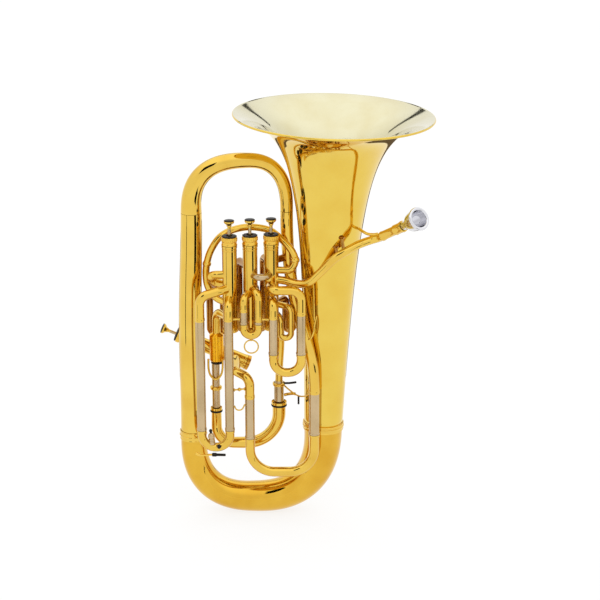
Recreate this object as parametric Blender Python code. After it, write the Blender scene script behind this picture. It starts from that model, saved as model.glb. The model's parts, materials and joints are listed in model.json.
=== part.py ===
"""Compensating euphonium, bell up: three upright valves and a side valve.

Frame: origin at the lowest point of the bottom bow, +X towards the bell,
+Y away from the player's valves, +Z up the instrument. Lengths in the
constants are millimetres; MM turns them into metres when meshes are made.
"""
import math

import bmesh
import bpy
from mathutils import Vector

MM = 0.001
GAP = 0.3

# bell
BELL_FOOT = Vector((110.5, 0.0, 148.7))
BELL_LEAN = math.radians(1.6)
BELL_LENGTH = 499.5
BELL_RIM_R = 150.9
BELL_FLARE_X0 = 20.5
BELL_FLARE_POWER = 0.496
BELL_WALL = 0.8
BELL_SIDES = 24
BELL_STATIONS = 9
BELL_CROWDING = 2.2

# main branches
MAIN_SIDES = 16
MAIN_WALL = 0.9
BOW_POWER = 2.5
BOW_EVENING = 0.054
END_RUN = 4.0
BOTTOM_BOW_R = (19.6, 24.9, 30.4)
BOTTOM_BOW_APEX = (0.0, 24.1)
BRANCH_X = -95.0
BRANCH_FOOT_Z = 133.0
BRANCH_TOP_X = -91.4
BRANCH_TOP_Z = 496.7
BRANCH_TOP_R = 16.2
BRANCH_BULGE = 3.0
TOP_BOW_APEX = (-8.0, 576.7)
TOP_BOW_R = (16.2, 12.0, 9.9)
SMALL_X = 53.5
SMALL_Y = 10.0
SMALL_BRANCH_R = (9.9, 8.2)
FERRULE_WALL = 1.5
BELL_FERRULE_LENGTH = 12.0
BRANCH_FERRULE_LENGTH = 15.0

# upright valves
VALVE_AXES = ((30.0, -18.0), (-2.0, -23.0), (-33.0, -28.0))
CASING_R = 11.2
CASING_BORE = 9.9
CASING_Z = (320.5, 453.5)
VALVE_SIDES = 12
PISTON_R = 9.6
PISTON_BORE = 8.2
PISTON_LENGTH = 98.0
CAP_R = 12.3
CAP_HEIGHT = 14.0
BOTTOM_CAP_HEIGHT = 6.5
STEM_R = 2.6
BUTTON_R = 8.0
BUTTON_HEIGHT = 5.6
BUTTON_LIFT = 19.6

# side valve
SIDE_TOP = Vector((-120.5, 34.5, 288.0))
SIDE_SLOPE = math.radians(23.5)
SIDE_CASING_LENGTH = 104.0
SIDE_PISTON_LENGTH = 68.0

# springs
SPRING_R = 6.8
SPRING_WIRE_R = 0.7
SPRING_TURNS = 4
SPRING_STEPS = 6

# valve slides
SLIDE_SIDES = 12
TUBE_SIDES = 8
SLEEVE_R = 7.1
SLEEVE_BORE = 6.4
LEG_R = 6.1
CROOK_R = 7.0
TUBE_R = 6.6
TUBE_WALL = 0.7
SHOULDER = 1.2
SMALL_TUBE_R = 5.5

FIRST_X = (33.4, 75.4)
FIRST_Y = -52.0
FIRST_SLEEVE_Z = (286.5, 352.5)
FIRST_CROOK_Z = 256.4
FIRST_LEG_TOP = 330.0
FIRST_PORT_Z = (369.0, 389.0)
SECOND_X = (-11.9, 10.7)
SECOND_Y = -48.0
SECOND_MOUTH_Z = 334.0
SECOND_LEG_TOP = 358.0
SECOND_PORT_Z = (376.0, 384.0)
SECOND_CROOK_Z = 315.4
SECOND_R_CUT = 0.9
THIRD_X = (-78.5, -35.0)
THIRD_Y = -50.0
THIRD_SLEEVE_Z = (160.0, 342.0)
THIRD_PORT_Z = (385.5, 367.0)
THIRD_CROOK_Z = 131.0
THIRD_LEG_TOP = 270.0
RING_R = 10.6
RING_WIRE_R = 1.1
RING_Z = 297.3

# main tuning slide
MAIN_SLIDE_X = (-4.0, 96.0)
MAIN_SLIDE_Y = -42.0
MAIN_SLEEVE_R = (7.5, 8.2)
MAIN_SLEEVE_Z = (143.0, 149.5)
MAIN_SLEEVE_TOP = (212.6, 220.6)
MAIN_CROOK_Z = 85.5
MAIN_LEG_TOP = (205.0, 213.0)

# slide of the side valve: wide crook over two fixed inner legs
FOURTH_X = (-58.5, 40.7)
FOURTH_Y = 10.7
FOURTH_RING_Z = (173.5, 183.5)
FOURTH_LEG_R = (6.4, 7.9)
FOURTH_CROOK_R = (7.9, 10.6)
FOURTH_CROOK_Z = 112.5
FOURTH_CORNER = (28.0, 52.0)
FOURTH_LEG_END_Z = (143.0, 166.0)
FOURTH_LEG_TOP_Z = 214.0
FOURTH_WALL = 0.8

# port box in front of the side valve
BOX_X = -56.5
BOX_R = 11.2
BOX_Z = (251.0, 298.0)
BOX_WALL = 1.2

# heights at which the fixed pipes meet the upright valves
BOX_PORT_Z = 335.0
RETURN_PORT_Z = 341.0
RETURN_R = 5.9
ARCH_PORT_Z = (412.0, 360.0)
FIRST_LOOP_PORT_Z = (341.0, 357.0)
FIRST_LOOP_R = 4.8
THIRD_LOOP_PORT_Z = (406.0, 389.0)
THIRD_LOOP_R = 4.9
LINK_PORT_Z = 406.0
LINK_R = 5.2
LEAD_PORT_Z = 396.5
LEAD_R = 6.3
SIDE_PORT_RUN = 18.0

# mouthpiece line
RECEIVER_FOOT = Vector((196.5, -58.0, 476.7))
LINE = Vector((0.52, -0.70, 0.49)).normalized()
RECEIVER_LENGTH = 56.0
RECEIVER_COLLAR = 20.0
RECEIVER_R = 7.0
MOUTH_INSERT = 26.0
MOUTH_LENGTH = 67.0
MOUTH_RIM_R = 17.6

# water key on the third slide
RING_DEPTH = 4.0
STAY_Z = 226.0
KEY_Y = -57.0
KEY_X = (-88.0, -42.0)
KEY_Z = 118.5
KEY_PIVOT_X = -70.0
KEY_R = 1.3
PAD_R = 3.0

BRASS = ((0.86, 0.60, 0.20), 0.16, 1.0)
NICKEL = ((0.72, 0.66, 0.58), 0.2, 1.0)
SILVER = ((0.9, 0.9, 0.9), 0.12, 1.0)
STEEL = ((0.55, 0.56, 0.58), 0.3, 1.0)
DARK_BRASS = ((0.62, 0.40, 0.13), 0.25, 1.0)

for old in list(bpy.data.objects):
    bpy.data.objects.remove(old, do_unlink=True)


def paint(obj, look):
    """Give a piece its own principled material."""
    colour, roughness, metallic = look
    mat = bpy.data.materials.new(obj.name + "_finish")
    mat.use_nodes = True
    shader = mat.node_tree.nodes["Principled BSDF"]
    shader.inputs["Base Color"].default_value = (*colour, 1.0)
    shader.inputs["Roughness"].default_value = roughness
    shader.inputs["Metallic"].default_value = metallic
    obj.data.materials.append(mat)


def make(name, rings, look, closed_loop=False, at=Vector((0, 0, 0)), turn=None):
    """Skin a list of rings (lists of points in mm) into one closed body.

    A ring of one point is a pole. With closed_loop the last ring joins the
    first, which gives a hollow, open-ended wall or a torus.
    """
    bm = bmesh.new()
    made = []
    for ring in rings:
        made.append([bm.verts.new((p - at) * MM) for p in ring])
    pairs = list(zip(made, made[1:]))
    if closed_loop:
        pairs.append((made[-1], made[0]))
    for low, high in pairs:
        if len(low) == 1 and len(high) == 1:
            continue
        count = max(len(low), len(high))
        for i in range(count):
            j = (i + 1) % count
            if len(low) == 1:
                bm.faces.new((low[0], high[j], high[i]))
            elif len(high) == 1:
                bm.faces.new((low[i], low[j], high[0]))
            else:
                bm.faces.new((low[i], low[j], high[j], high[i]))
    if not closed_loop:
        for end in (made[0], made[-1]):
            if len(end) > 2:
                bm.faces.new(end)
    bmesh.ops.recalc_face_normals(bm, faces=bm.faces)
    mesh = bpy.data.meshes.new(name)
    bm.to_mesh(mesh)
    bm.free()
    for face in mesh.polygons:
        face.use_smooth = True
    obj = bpy.data.objects.new(name, mesh)
    bpy.context.collection.objects.link(obj)
    obj.location = at * MM
    if turn is not None:
        obj.rotation_mode = "QUATERNION"
        obj.rotation_quaternion = turn
    if look is not None:
        paint(obj, look)
    return obj


def circle(centre, a, b, radius, sides):
    """Points of a circle about centre in the plane of unit vectors a, b."""
    points = []
    for i in range(sides):
        t = 2.0 * math.pi * (i + 0.5) / sides
        points.append(centre + a * (radius * math.cos(t)) + b * (radius * math.sin(t)))
    return points


def lathe(name, profile, sides, look, foot, axis=Vector((0, 0, 1)), loop=True):
    """Turn a profile of (radius, height) points about an axis through foot."""
    turn = Vector((0, 0, 1)).rotation_difference(axis)
    rings = []
    for radius, height in profile:
        centre = foot + Vector((0, 0, height))
        if radius == 0:
            rings.append([centre])
        else:
            rings.append(circle(centre, Vector((1, 0, 0)), Vector((0, 1, 0)), radius, sides))
    straight = axis.z > 0.99999
    return make(name, rings, look, closed_loop=loop, at=foot, turn=None if straight else turn)


def fillet(corners, radii, steps=4):
    """Polyline through corners with every inner corner rounded to an arc."""
    path = [corners[0]]
    for k in range(1, len(corners) - 1):
        p = corners[k]
        u = (corners[k - 1] - p).normalized()
        v = (corners[k + 1] - p).normalized()
        angle = u.angle(v)
        radius = radii[k - 1] if isinstance(radii, (list, tuple)) else radii
        reach = radius / math.tan(angle / 2)
        middle = p + (u + v).normalized() * (radius / math.sin(angle / 2))
        start = p + u * reach - middle
        end = p + v * reach - middle
        sweep = math.pi - angle
        for i in range(steps + 1):
            t = i / steps
            a = math.sin((1 - t) * sweep) / math.sin(sweep)
            b = math.sin(t * sweep) / math.sin(sweep)
            path.append(middle + start * a + end * b)
    path.append(corners[-1])
    return path


def spline(points, steps=3):
    """Smooth curve through points (Catmull-Rom)."""
    path = []
    last = len(points) - 1
    for k in range(last):
        p0 = points[max(k - 1, 0)]
        p1 = points[k]
        p2 = points[k + 1]
        p3 = points[min(k + 2, last)]
        for i in range(steps):
            t = i / steps
            a = p1 * 2
            b = (p2 - p0) * t
            c = (p0 * 2 - p1 * 5 + p2 * 4 - p3) * (t * t)
            d = (p1 * 3 - p0 - p2 * 3 + p3) * (t * t * t)
            path.append((a + b + c + d) * 0.5)
    path.append(points[-1])
    return path


def half_bow(left, right, apex, power, steps):
    """Half superellipse from left to right through apex, all (x, z), at y = 0.

    Both ends run straight up or down for END_RUN so that they butt squarely.
    """
    drop = END_RUN if apex[1] > left[1] else -END_RUN
    path = [Vector((left[0], 0.0, left[1]))]
    for i in range(steps + 1):
        t = i / steps
        angle = math.pi * (1 - t + BOW_EVENING * math.sin(4 * math.pi * t))
        if i == 0:
            angle = math.pi
        if i == steps:
            angle = 0.0
        c = math.cos(angle)
        s = max(math.sin(angle), 0.0)
        side = left if c < 0 else right
        x = apex[0] + (side[0] - apex[0]) * abs(c) ** (2 / power)
        base = side[1] + drop
        z = base + (apex[1] - base) * s ** (2 / power)
        path.append(Vector((x, 0.0, z)))
    path.append(Vector((right[0], 0.0, right[1])))
    return path


def lengths(path):
    """Distance along a path at each of its points."""
    out = [0.0]
    for p, q in zip(path, path[1:]):
        out.append(out[-1] + (q - p).length)
    return out


def value(table, s):
    """Linear value of a table of (distance, value) pairs at s."""
    if s <= table[0][0]:
        return table[0][1]
    for (s0, v0), (s1, v1) in zip(table, table[1:]):
        if s <= s1:
            return v1 if s1 == s0 else v0 + (v1 - v0) * (s - s0) / (s1 - s0)
    return table[-1][1]


def frames(path, start_side):
    """Tangents and parallel-transported side vectors at every path point."""
    tangents = []
    for k in range(len(path)):
        before = path[max(k - 1, 0)]
        after = path[min(k + 1, len(path) - 1)]
        here = path[k]
        back = (here - before).normalized() if k else Vector((0, 0, 0))
        ahead = (after - here).normalized() if k < len(path) - 1 else Vector((0, 0, 0))
        tangents.append((back + ahead).normalized())
    side = start_side - tangents[0] * start_side.dot(tangents[0])
    if side.length < 0.1:
        side = Vector((0, 0, 1))
    side.normalize()
    sides = [side]
    for k in range(1, len(path)):
        side = sides[-1] - tangents[k] * sides[-1].dot(tangents[k])
        side.normalize()
        sides.append(side)
    return tangents, sides


def surface(path, table, sides, start_side):
    """Rings of one swept surface; a repeated distance in table is a step."""
    spots = lengths(path)
    tangents, side_vectors = frames(path, start_side)
    steps = {}
    for (s0, v0), (s1, v1) in zip(table, table[1:]):
        if s0 == s1:
            steps[s0] = (v0, v1)
    stations = [(s, k) for k, s in enumerate(spots)]
    for s in sorted({distance for distance, _ in table}):
        if all(abs(s - other) > 0.05 for other in spots):
            stations.append((s, None))
    stations.sort(key=lambda item: item[0])
    rings = []
    for s, k in stations:
        if k is None:
            after = next(i for i, other in enumerate(spots) if other > s)
            t = (s - spots[after - 1]) / (spots[after] - spots[after - 1])
            centre = path[after - 1].lerp(path[after], t)
            along = (path[after] - path[after - 1]).normalized()
            a = side_vectors[after - 1] - along * side_vectors[after - 1].dot(along)
            a.normalize()
        else:
            centre = path[k]
            along = tangents[k]
            a = side_vectors[k]
        b = along.cross(a)
        step = next((v for s0, v in steps.items() if abs(s0 - s) < 0.05), None)
        if step:
            rings.append(circle(centre, a, b, step[0], sides))
            rings.append(circle(centre, a, b, step[1], sides))
        else:
            rings.append(circle(centre, a, b, value(table, s), sides))
    return rings


def tube(name, path, outer, inner, look, sides=TUBE_SIDES, side=Vector((0, 1, 0))):
    """Hollow open-ended pipe; outer and inner are radii or radius tables."""
    total = lengths(path)[-1]
    if not isinstance(outer, list):
        outer = [(0.0, outer), (total, outer)]
    if not isinstance(inner, list):
        inner = [(0.0, inner), (total, inner)]
    skin = surface(path, outer, sides, side)
    bore = surface(path, inner, sides, side)
    at = path[0].copy()
    return make(name, skin + bore[::-1], look, closed_loop=True, at=at)


# ---------------------------------------------------------------- bell
bell_axis = Vector((math.sin(BELL_LEAN), 0.0, math.cos(BELL_LEAN)))


def flare(height):
    """Outer radius of the bell at a height above its foot."""
    from_rim = BELL_LENGTH - height
    ratio = BELL_FLARE_X0 / (from_rim + BELL_FLARE_X0)
    return BELL_RIM_R * ratio ** BELL_FLARE_POWER


heights = []
for i in range(BELL_STATIONS + 1):
    heights.append(BELL_LENGTH * (1.0 - (1.0 - i / BELL_STATIONS) ** BELL_CROWDING))
top = heights[-1]
outside = [(flare(h), h) for h in heights[:-1]]
bead = [
    (BELL_RIM_R - 1.0, top - 3.4),
    (BELL_RIM_R + 1.0, top - 2.6),
    (BELL_RIM_R + 1.5, top - 1.2),
    (BELL_RIM_R + 0.9, top),
    (BELL_RIM_R - 1.5, top),
    (BELL_RIM_R - 2.6, top - 1.0),
]
inside = [(flare(h) - BELL_WALL, h) for h in heights[:-1]]
last_r, last_h = inside[-1]
inside[-1] = (last_r - 0.5, last_h)
bell = lathe("bell", outside + bead + inside[::-1], BELL_SIDES, BRASS, BELL_FOOT, bell_axis)
foot_r = flare(0.0)

# ---------------------------------------------------------------- main branches
bow_path = half_bow(
    (BRANCH_X, BRANCH_FOOT_Z), (BELL_FOOT.x, BELL_FOOT.z), BOTTOM_BOW_APEX, BOW_POWER, 12
)
bow_path[-1] = BELL_FOOT - bell_axis * GAP
bow_path[-2] = BELL_FOOT - bell_axis * END_RUN
run = lengths(bow_path)[-1]
bow_outer = [(0.0, BOTTOM_BOW_R[0]), (run * 0.5, BOTTOM_BOW_R[1]), (run, foot_r)]
bow_inner = [(s, r - MAIN_WALL) for s, r in bow_outer]
tube("bottom_bow", bow_path, bow_outer, bow_inner, BRASS, MAIN_SIDES)

half = BELL_FERRULE_LENGTH / 2
hole = (foot_r + GAP) / math.cos(math.pi / MAIN_SIDES)
ring = [
    (hole, -half),
    (hole + FERRULE_WALL, -half),
    (hole + FERRULE_WALL + 0.5, 0.0),
    (hole + FERRULE_WALL, half),
    (hole, half),
]
lathe("bell_ferrule", ring, BELL_SIDES, BRASS, BELL_FOOT, bell_axis)

branch_low = BRANCH_FOOT_Z + GAP
branch_high = BRANCH_TOP_Z - GAP
branch_path = [Vector((BRANCH_X, 0.0, branch_low))]
for i in range(5):
    t = i / 4
    x = BRANCH_X + (BRANCH_TOP_X - BRANCH_X) * t - BRANCH_BULGE * math.sin(math.pi * t)
    z = branch_low + END_RUN + (branch_high - branch_low - 2 * END_RUN) * t
    branch_path.append(Vector((x, 0.0, z)))
branch_path.append(Vector((BRANCH_TOP_X, 0.0, branch_high)))
run = lengths(branch_path)[-1]
branch_outer = [(0.0, BOTTOM_BOW_R[0]), (run, BRANCH_TOP_R)]
branch_inner = [(s, r - MAIN_WALL) for s, r in branch_outer]
tube("left_branch", branch_path, branch_outer, branch_inner, BRASS, MAIN_SIDES)

half = BRANCH_FERRULE_LENGTH / 2
hole = BOTTOM_BOW_R[0] + 3 * GAP
ring = [
    (hole, -half),
    (hole + FERRULE_WALL - 0.5, -half),
    (hole + FERRULE_WALL, -half + 2.0),
    (hole + FERRULE_WALL, half - 2.0),
    (hole + FERRULE_WALL - 0.5, half),
    (hole, half),
]
lathe("branch_ferrule", ring, MAIN_SIDES, BRASS, Vector((BRANCH_X, 0, BRANCH_FOOT_Z)))

arch_path = half_bow(
    (BRANCH_TOP_X, BRANCH_TOP_Z), (SMALL_X, BRANCH_TOP_Z), TOP_BOW_APEX, BOW_POWER, 11
)
for spot in arch_path:
    spot.y = SMALL_Y * (spot.x - BRANCH_TOP_X) / (SMALL_X - BRANCH_TOP_X)
run = lengths(arch_path)[-1]
arch_outer = [(0.0, TOP_BOW_R[0]), (run * 0.5, TOP_BOW_R[1]), (run, TOP_BOW_R[2])]
arch_inner = [(s, r - MAIN_WALL) for s, r in arch_outer]
tube("top_bow", arch_path, arch_outer, arch_inner, BRASS, VALVE_SIDES)

small_path = spline(
    [
        Vector((SMALL_X, SMALL_Y, BRANCH_TOP_Z - GAP)),
        Vector((SMALL_X, SMALL_Y, BRANCH_TOP_Z - 2 * END_RUN)),
        Vector((54.3, 8.6, 455.0)),
        Vector((57.5, 1.5, 412.0)),
        Vector((63.0, -11.0, 377.0)),
        Vector((70.0, -23.0, 346.0)),
        Vector((79.0, -33.0, 315.0)),
        Vector((88.0, -39.5, 286.0)),
        Vector((94.0, -41.8, 258.0)),
        Vector((MAIN_SLIDE_X[1], MAIN_SLIDE_Y, MAIN_SLEEVE_TOP[1] + 2 * END_RUN)),
        Vector((MAIN_SLIDE_X[1], MAIN_SLIDE_Y, MAIN_SLEEVE_TOP[1] + GAP)),
    ],
    1,
)
run = lengths(small_path)[-1]
small_outer = [(0.0, SMALL_BRANCH_R[0]), (run, SMALL_BRANCH_R[1])]
small_inner = [(s, r - 0.8) for s, r in small_outer]
tube("small_branch", small_path, small_outer, small_inner, BRASS, SLIDE_SIDES)

# ---------------------------------------------------------------- valves
CAP_FLOOR = 1.6
RECESS = 22.0


def valve(tag, foot, axis, length, piston_length):
    """One piston valve: casing, caps, piston, stem with button, and spring."""
    lathe(
        "valve_casing_" + tag,
        [
            (CASING_R + 0.6, 0.0),
            (CASING_R + 0.6, 3.0),
            (CASING_R, 3.6),
            (CASING_R, length - 4.0),
            (CASING_R + 0.7, length - 3.4),
            (CASING_R + 0.7, length),
            (CASING_BORE, length),
            (CASING_BORE, 0.0),
        ],
        VALVE_SIDES, BRASS, foot, axis,
    )
    cap_foot = foot + axis * (length + GAP)
    lathe(
        "top_cap_" + tag,
        [
            (CAP_R - 0.8, 0.0),
            (CAP_R, 0.8),
            (CAP_R, CAP_HEIGHT - 3.0),
            (CAP_R - 1.6, CAP_HEIGHT),
            (STEM_R + 0.4, CAP_HEIGHT),
            (STEM_R + 0.4, CAP_HEIGHT - 2.0),
            (CASING_BORE, CAP_HEIGHT - 2.6),
            (CASING_BORE, 0.0),
        ],
        VALVE_SIDES, DARK_BRASS, cap_foot, axis,
    )
    bottom_foot = foot - axis * (GAP + BOTTOM_CAP_HEIGHT)
    lathe(
        "bottom_cap_" + tag,
        [
            (2.0, 0.0),
            (CAP_R - 3.0, 0.0),
            (CAP_R, 2.0),
            (CAP_R, BOTTOM_CAP_HEIGHT),
            (CASING_BORE, BOTTOM_CAP_HEIGHT),
            (CASING_BORE, CAP_FLOOR),
            (2.0, CAP_FLOOR),
        ],
        VALVE_SIDES, DARK_BRASS, bottom_foot, axis,
    )
    top_of_piston = length + CAP_HEIGHT - 2.6 - 1.5
    piston_foot = foot + axis * (top_of_piston - piston_length)
    lathe(
        "piston_" + tag,
        [
            (PISTON_BORE, 0.0),
            (PISTON_R, 0.0),
            (PISTON_R, piston_length - 1.2),
            (PISTON_R - 1.2, piston_length),
            (STEM_R - 0.6, piston_length),
            (STEM_R - 0.6, piston_length - 2.5),
            (PISTON_BORE, piston_length - 2.5),
            (PISTON_BORE, RECESS + 1.5),
            (STEM_R, RECESS + 1.5),
            (STEM_R, RECESS),
            (PISTON_BORE, RECESS),
        ],
        VALVE_SIDES, STEEL, piston_foot, axis,
    )
    cap_top = length + GAP + CAP_HEIGHT
    stem_foot = foot + axis * (top_of_piston + GAP)
    rise = cap_top + BUTTON_LIFT - top_of_piston - GAP
    lathe(
        "finger_button_" + tag,
        [
            (0.0, 0.0),
            (STEM_R, 0.0),
            (STEM_R, rise - 1.6),
            (BUTTON_R - 2.6, rise),
            (BUTTON_R, rise + 1.6),
            (BUTTON_R, rise + BUTTON_HEIGHT - 0.8),
            (BUTTON_R - 1.0, rise + BUTTON_HEIGHT),
            (0.0, rise + BUTTON_HEIGHT - 0.6),
        ],
        SLIDE_SIDES, BRASS, stem_foot, axis, loop=False,
    )
    low = -BOTTOM_CAP_HEIGHT - GAP + CAP_FLOOR + GAP + SPRING_WIRE_R
    high = top_of_piston - piston_length + RECESS - GAP - SPRING_WIRE_R
    turn = Vector((0, 0, 1)).rotation_difference(axis)
    coil = []
    total = SPRING_TURNS * SPRING_STEPS
    for i in range(total + 1):
        t = i / total
        angle = 2 * math.pi * SPRING_TURNS * t
        across = Vector((math.cos(angle), math.sin(angle), 0.0)) * SPRING_R
        coil.append(foot + across + Vector((0.0, 0.0, low + (high - low) * t)))
    rings = surface(coil, [(0.0, SPRING_WIRE_R), (1.0, SPRING_WIRE_R)], 4, Vector((0, 0, 1)))
    straight = axis.z > 0.99999
    make("valve_spring_" + tag, rings, STEEL, at=foot, turn=None if straight else turn)


for index, (x, y) in enumerate(VALVE_AXES):
    foot = Vector((x, y, CASING_Z[0]))
    valve(str(index + 1), foot, Vector((0, 0, 1)), CASING_Z[1] - CASING_Z[0], PISTON_LENGTH)

side_axis = Vector((-math.cos(SIDE_SLOPE), 0.0, math.sin(SIDE_SLOPE)))
side_foot = SIDE_TOP - side_axis * (SIDE_CASING_LENGTH + GAP + CAP_HEIGHT)
valve("4", side_foot, side_axis, SIDE_CASING_LENGTH, SIDE_PISTON_LENGTH)

# clearance cylinders that trim the pipe ends to the round valve casings
cutters = {}


def casing_cutter(tag, foot, axis, length):
    """Hidden cylinder a little wider than a casing."""
    profile = [
        (0.0, 4.2), (CASING_R + GAP, 4.2), (CASING_R + GAP, length - 4.2), (0.0, length - 4.2)
    ]
    cutter = lathe("trim_" + tag, profile, VALVE_SIDES, None, foot, axis, loop=False)
    cutter.hide_render = True
    cutter.display_type = "WIRE"
    cutters[tag] = cutter


for index, (x, y) in enumerate(VALVE_AXES):
    foot = Vector((x, y, CASING_Z[0]))
    casing_cutter(str(index + 1), foot, Vector((0, 0, 1)), CASING_Z[1] - CASING_Z[0])
casing_cutter("4", side_foot, side_axis, SIDE_CASING_LENGTH)


def trim(obj, *tags):
    """Cut a pipe back from the casings it runs into."""
    for tag in tags:
        cut = obj.modifiers.new("saddle_" + tag, "BOOLEAN")
        cut.operation = "DIFFERENCE"
        cut.solver = "EXACT"
        cut.object = cutters[tag]


def axis_point(index, z):
    """Point on the axis of upright valve index (1 to 3) at height z."""
    x, y = VALVE_AXES[index - 1]
    return Vector((x, y, z))


X_SIDE = Vector((1, 0, 0))
Y_SIDE = Vector((0, 1, 0))


def elbow_sleeve(name, x, y, valve_index, port_z, sleeve_z, shrink=0.0):
    """Outer slide pipe: leaves a casing towards -y and turns straight down."""
    corners = [
        axis_point(valve_index, port_z),
        Vector((x, y, port_z)),
        Vector((x, y, sleeve_z)),
    ]
    path = fillet(corners, 12.0, 3)
    pipe = tube(
        name, path, SLEEVE_R - shrink, SLEEVE_BORE - shrink, NICKEL, SLIDE_SIDES, X_SIDE
    )
    trim(pipe, str(valve_index))
    return pipe


def straight_sleeve(name, x, y, low, high, outer, bore):
    """Straight outer slide pipe."""
    path = [Vector((x, y, high)), Vector((x, y, low))]
    tube(name, path, outer, bore, NICKEL, SLIDE_SIDES, Y_SIDE)


def u_slide(name, xs, y, tops, mouths, crook_z, legs, crooks, wall, corner, look=BRASS):
    """U slide: inner legs up to tops, wider crook below the sleeve mouths."""
    left, right = xs
    corners = [
        Vector((left, y, tops[0])),
        Vector((left, y, crook_z)),
        Vector((right, y, crook_z)),
        Vector((right, y, tops[1])),
    ]
    path = fillet(corners, corner, 3)
    run = lengths(path)[-1]
    first = tops[0] - mouths[0] + GAP
    second = run - (tops[1] - mouths[1] + GAP)
    outer = [
        (0.0, legs[0]), (first, legs[0]), (first, crooks[0]),
        (second, crooks[1]), (second, legs[1]), (run, legs[1]),
    ]
    web = SHOULDER if legs[0] < crooks[0] else -SHOULDER
    inner = [
        (0.0, legs[0] - wall), (first + web, legs[0] - wall), (first + web, crooks[0] - wall),
        (second - web, crooks[1] - wall), (second - web, legs[1] - wall), (run, legs[1] - wall),
    ]
    return tube(name, path, outer, inner, look, SLIDE_SIDES, Y_SIDE)


# ---------------------------------------------------------------- first slide
elbow_sleeve("first_sleeve_left", FIRST_X[0], FIRST_Y, 1, FIRST_PORT_Z[0], FIRST_SLEEVE_Z[0])
straight_sleeve(
    "first_sleeve_right", FIRST_X[1], FIRST_Y, FIRST_SLEEVE_Z[0], FIRST_SLEEVE_Z[1],
    SLEEVE_R, SLEEVE_BORE,
)
u_slide(
    "first_slide", FIRST_X, FIRST_Y, (FIRST_LEG_TOP,) * 2, (FIRST_SLEEVE_Z[0],) * 2, FIRST_CROOK_Z,
    (LEG_R, LEG_R), (CROOK_R, CROOK_R), 0.7, 20.0,
)
knuckle = fillet(
    [
        axis_point(1, FIRST_PORT_Z[1]),
        Vector((VALVE_AXES[0][0], FIRST_Y, FIRST_PORT_Z[1])),
        Vector((FIRST_X[1], FIRST_Y, FIRST_PORT_Z[1])),
        Vector((FIRST_X[1], FIRST_Y, FIRST_SLEEVE_Z[1] + GAP)),
    ],
    (13.0, 16.0),
    3,
)
trim(tube("first_knuckle", knuckle, SLEEVE_R, SLEEVE_BORE, BRASS), "1")

# ---------------------------------------------------------------- second slide
for side_name, x, port_z in zip(("left", "right"), SECOND_X, SECOND_PORT_Z):
    elbow_sleeve(
        "second_sleeve_" + side_name, x, SECOND_Y, 2, port_z, SECOND_MOUTH_Z, SECOND_R_CUT
    )
u_slide(
    "second_slide", SECOND_X, SECOND_Y, (SECOND_LEG_TOP,) * 2, (SECOND_MOUTH_Z,) * 2,
    SECOND_CROOK_Z, (LEG_R - SECOND_R_CUT,) * 2, (CROOK_R - SECOND_R_CUT,) * 2, 0.7, 11.2,
)
loop = []
ring_centre = Vector(((SECOND_X[0] + SECOND_X[1]) / 2, SECOND_Y, RING_Z))
for i in range(14):
    t = 2 * math.pi * i / 14
    out = Vector((math.cos(t), 0.0, math.sin(t)))
    loop.append(
        circle(ring_centre + out * RING_R, out, Vector((0, 1, 0)), RING_WIRE_R, 6)
    )
make("second_slide_ring", loop, BRASS, closed_loop=True, at=ring_centre)

# ---------------------------------------------------------------- third slide
elbow_sleeve("third_sleeve_right", THIRD_X[1], THIRD_Y, 3, THIRD_PORT_Z[1], THIRD_SLEEVE_Z[0])
straight_sleeve(
    "third_sleeve_left", THIRD_X[0], THIRD_Y, THIRD_SLEEVE_Z[0], THIRD_SLEEVE_Z[1],
    SLEEVE_R, SLEEVE_BORE,
)
u_slide(
    "third_slide", THIRD_X, THIRD_Y, (THIRD_LEG_TOP,) * 2, (THIRD_SLEEVE_Z[0],) * 2, THIRD_CROOK_Z,
    (LEG_R, LEG_R), (CROOK_R, CROOK_R), 0.7, 21.5,
)
knuckle = fillet(
    [
        axis_point(3, THIRD_PORT_Z[0]),
        Vector((-48.0, -42.0, THIRD_PORT_Z[0] - 0.5)),
        Vector((THIRD_X[0], THIRD_Y, THIRD_PORT_Z[0] - 7.5)),
        Vector((THIRD_X[0], THIRD_Y, THIRD_SLEEVE_Z[1] + GAP)),
    ],
    (24.0, 16.0),
    3,
)
trim(tube("third_knuckle", knuckle, SLEEVE_R, SLEEVE_BORE, BRASS), "3")

# ---------------------------------------------------------------- main tuning slide
straight_sleeve(
    "main_sleeve_left", MAIN_SLIDE_X[0], MAIN_SLIDE_Y, MAIN_SLEEVE_Z[0], MAIN_SLEEVE_TOP[0],
    MAIN_SLEEVE_R[0], MAIN_SLEEVE_R[0] - 0.7,
)
straight_sleeve(
    "main_sleeve_right", MAIN_SLIDE_X[1], MAIN_SLIDE_Y, MAIN_SLEEVE_Z[1], MAIN_SLEEVE_TOP[1],
    MAIN_SLEEVE_R[1], MAIN_SLEEVE_R[1] - 0.7,
)
u_slide(
    "main_slide", MAIN_SLIDE_X, MAIN_SLIDE_Y, MAIN_LEG_TOP, MAIN_SLEEVE_Z, MAIN_CROOK_Z,
    (MAIN_SLEEVE_R[0] - 1.0, MAIN_SLEEVE_R[1] - 1.0), MAIN_SLEEVE_R, 0.7, 38.0,
)

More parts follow.
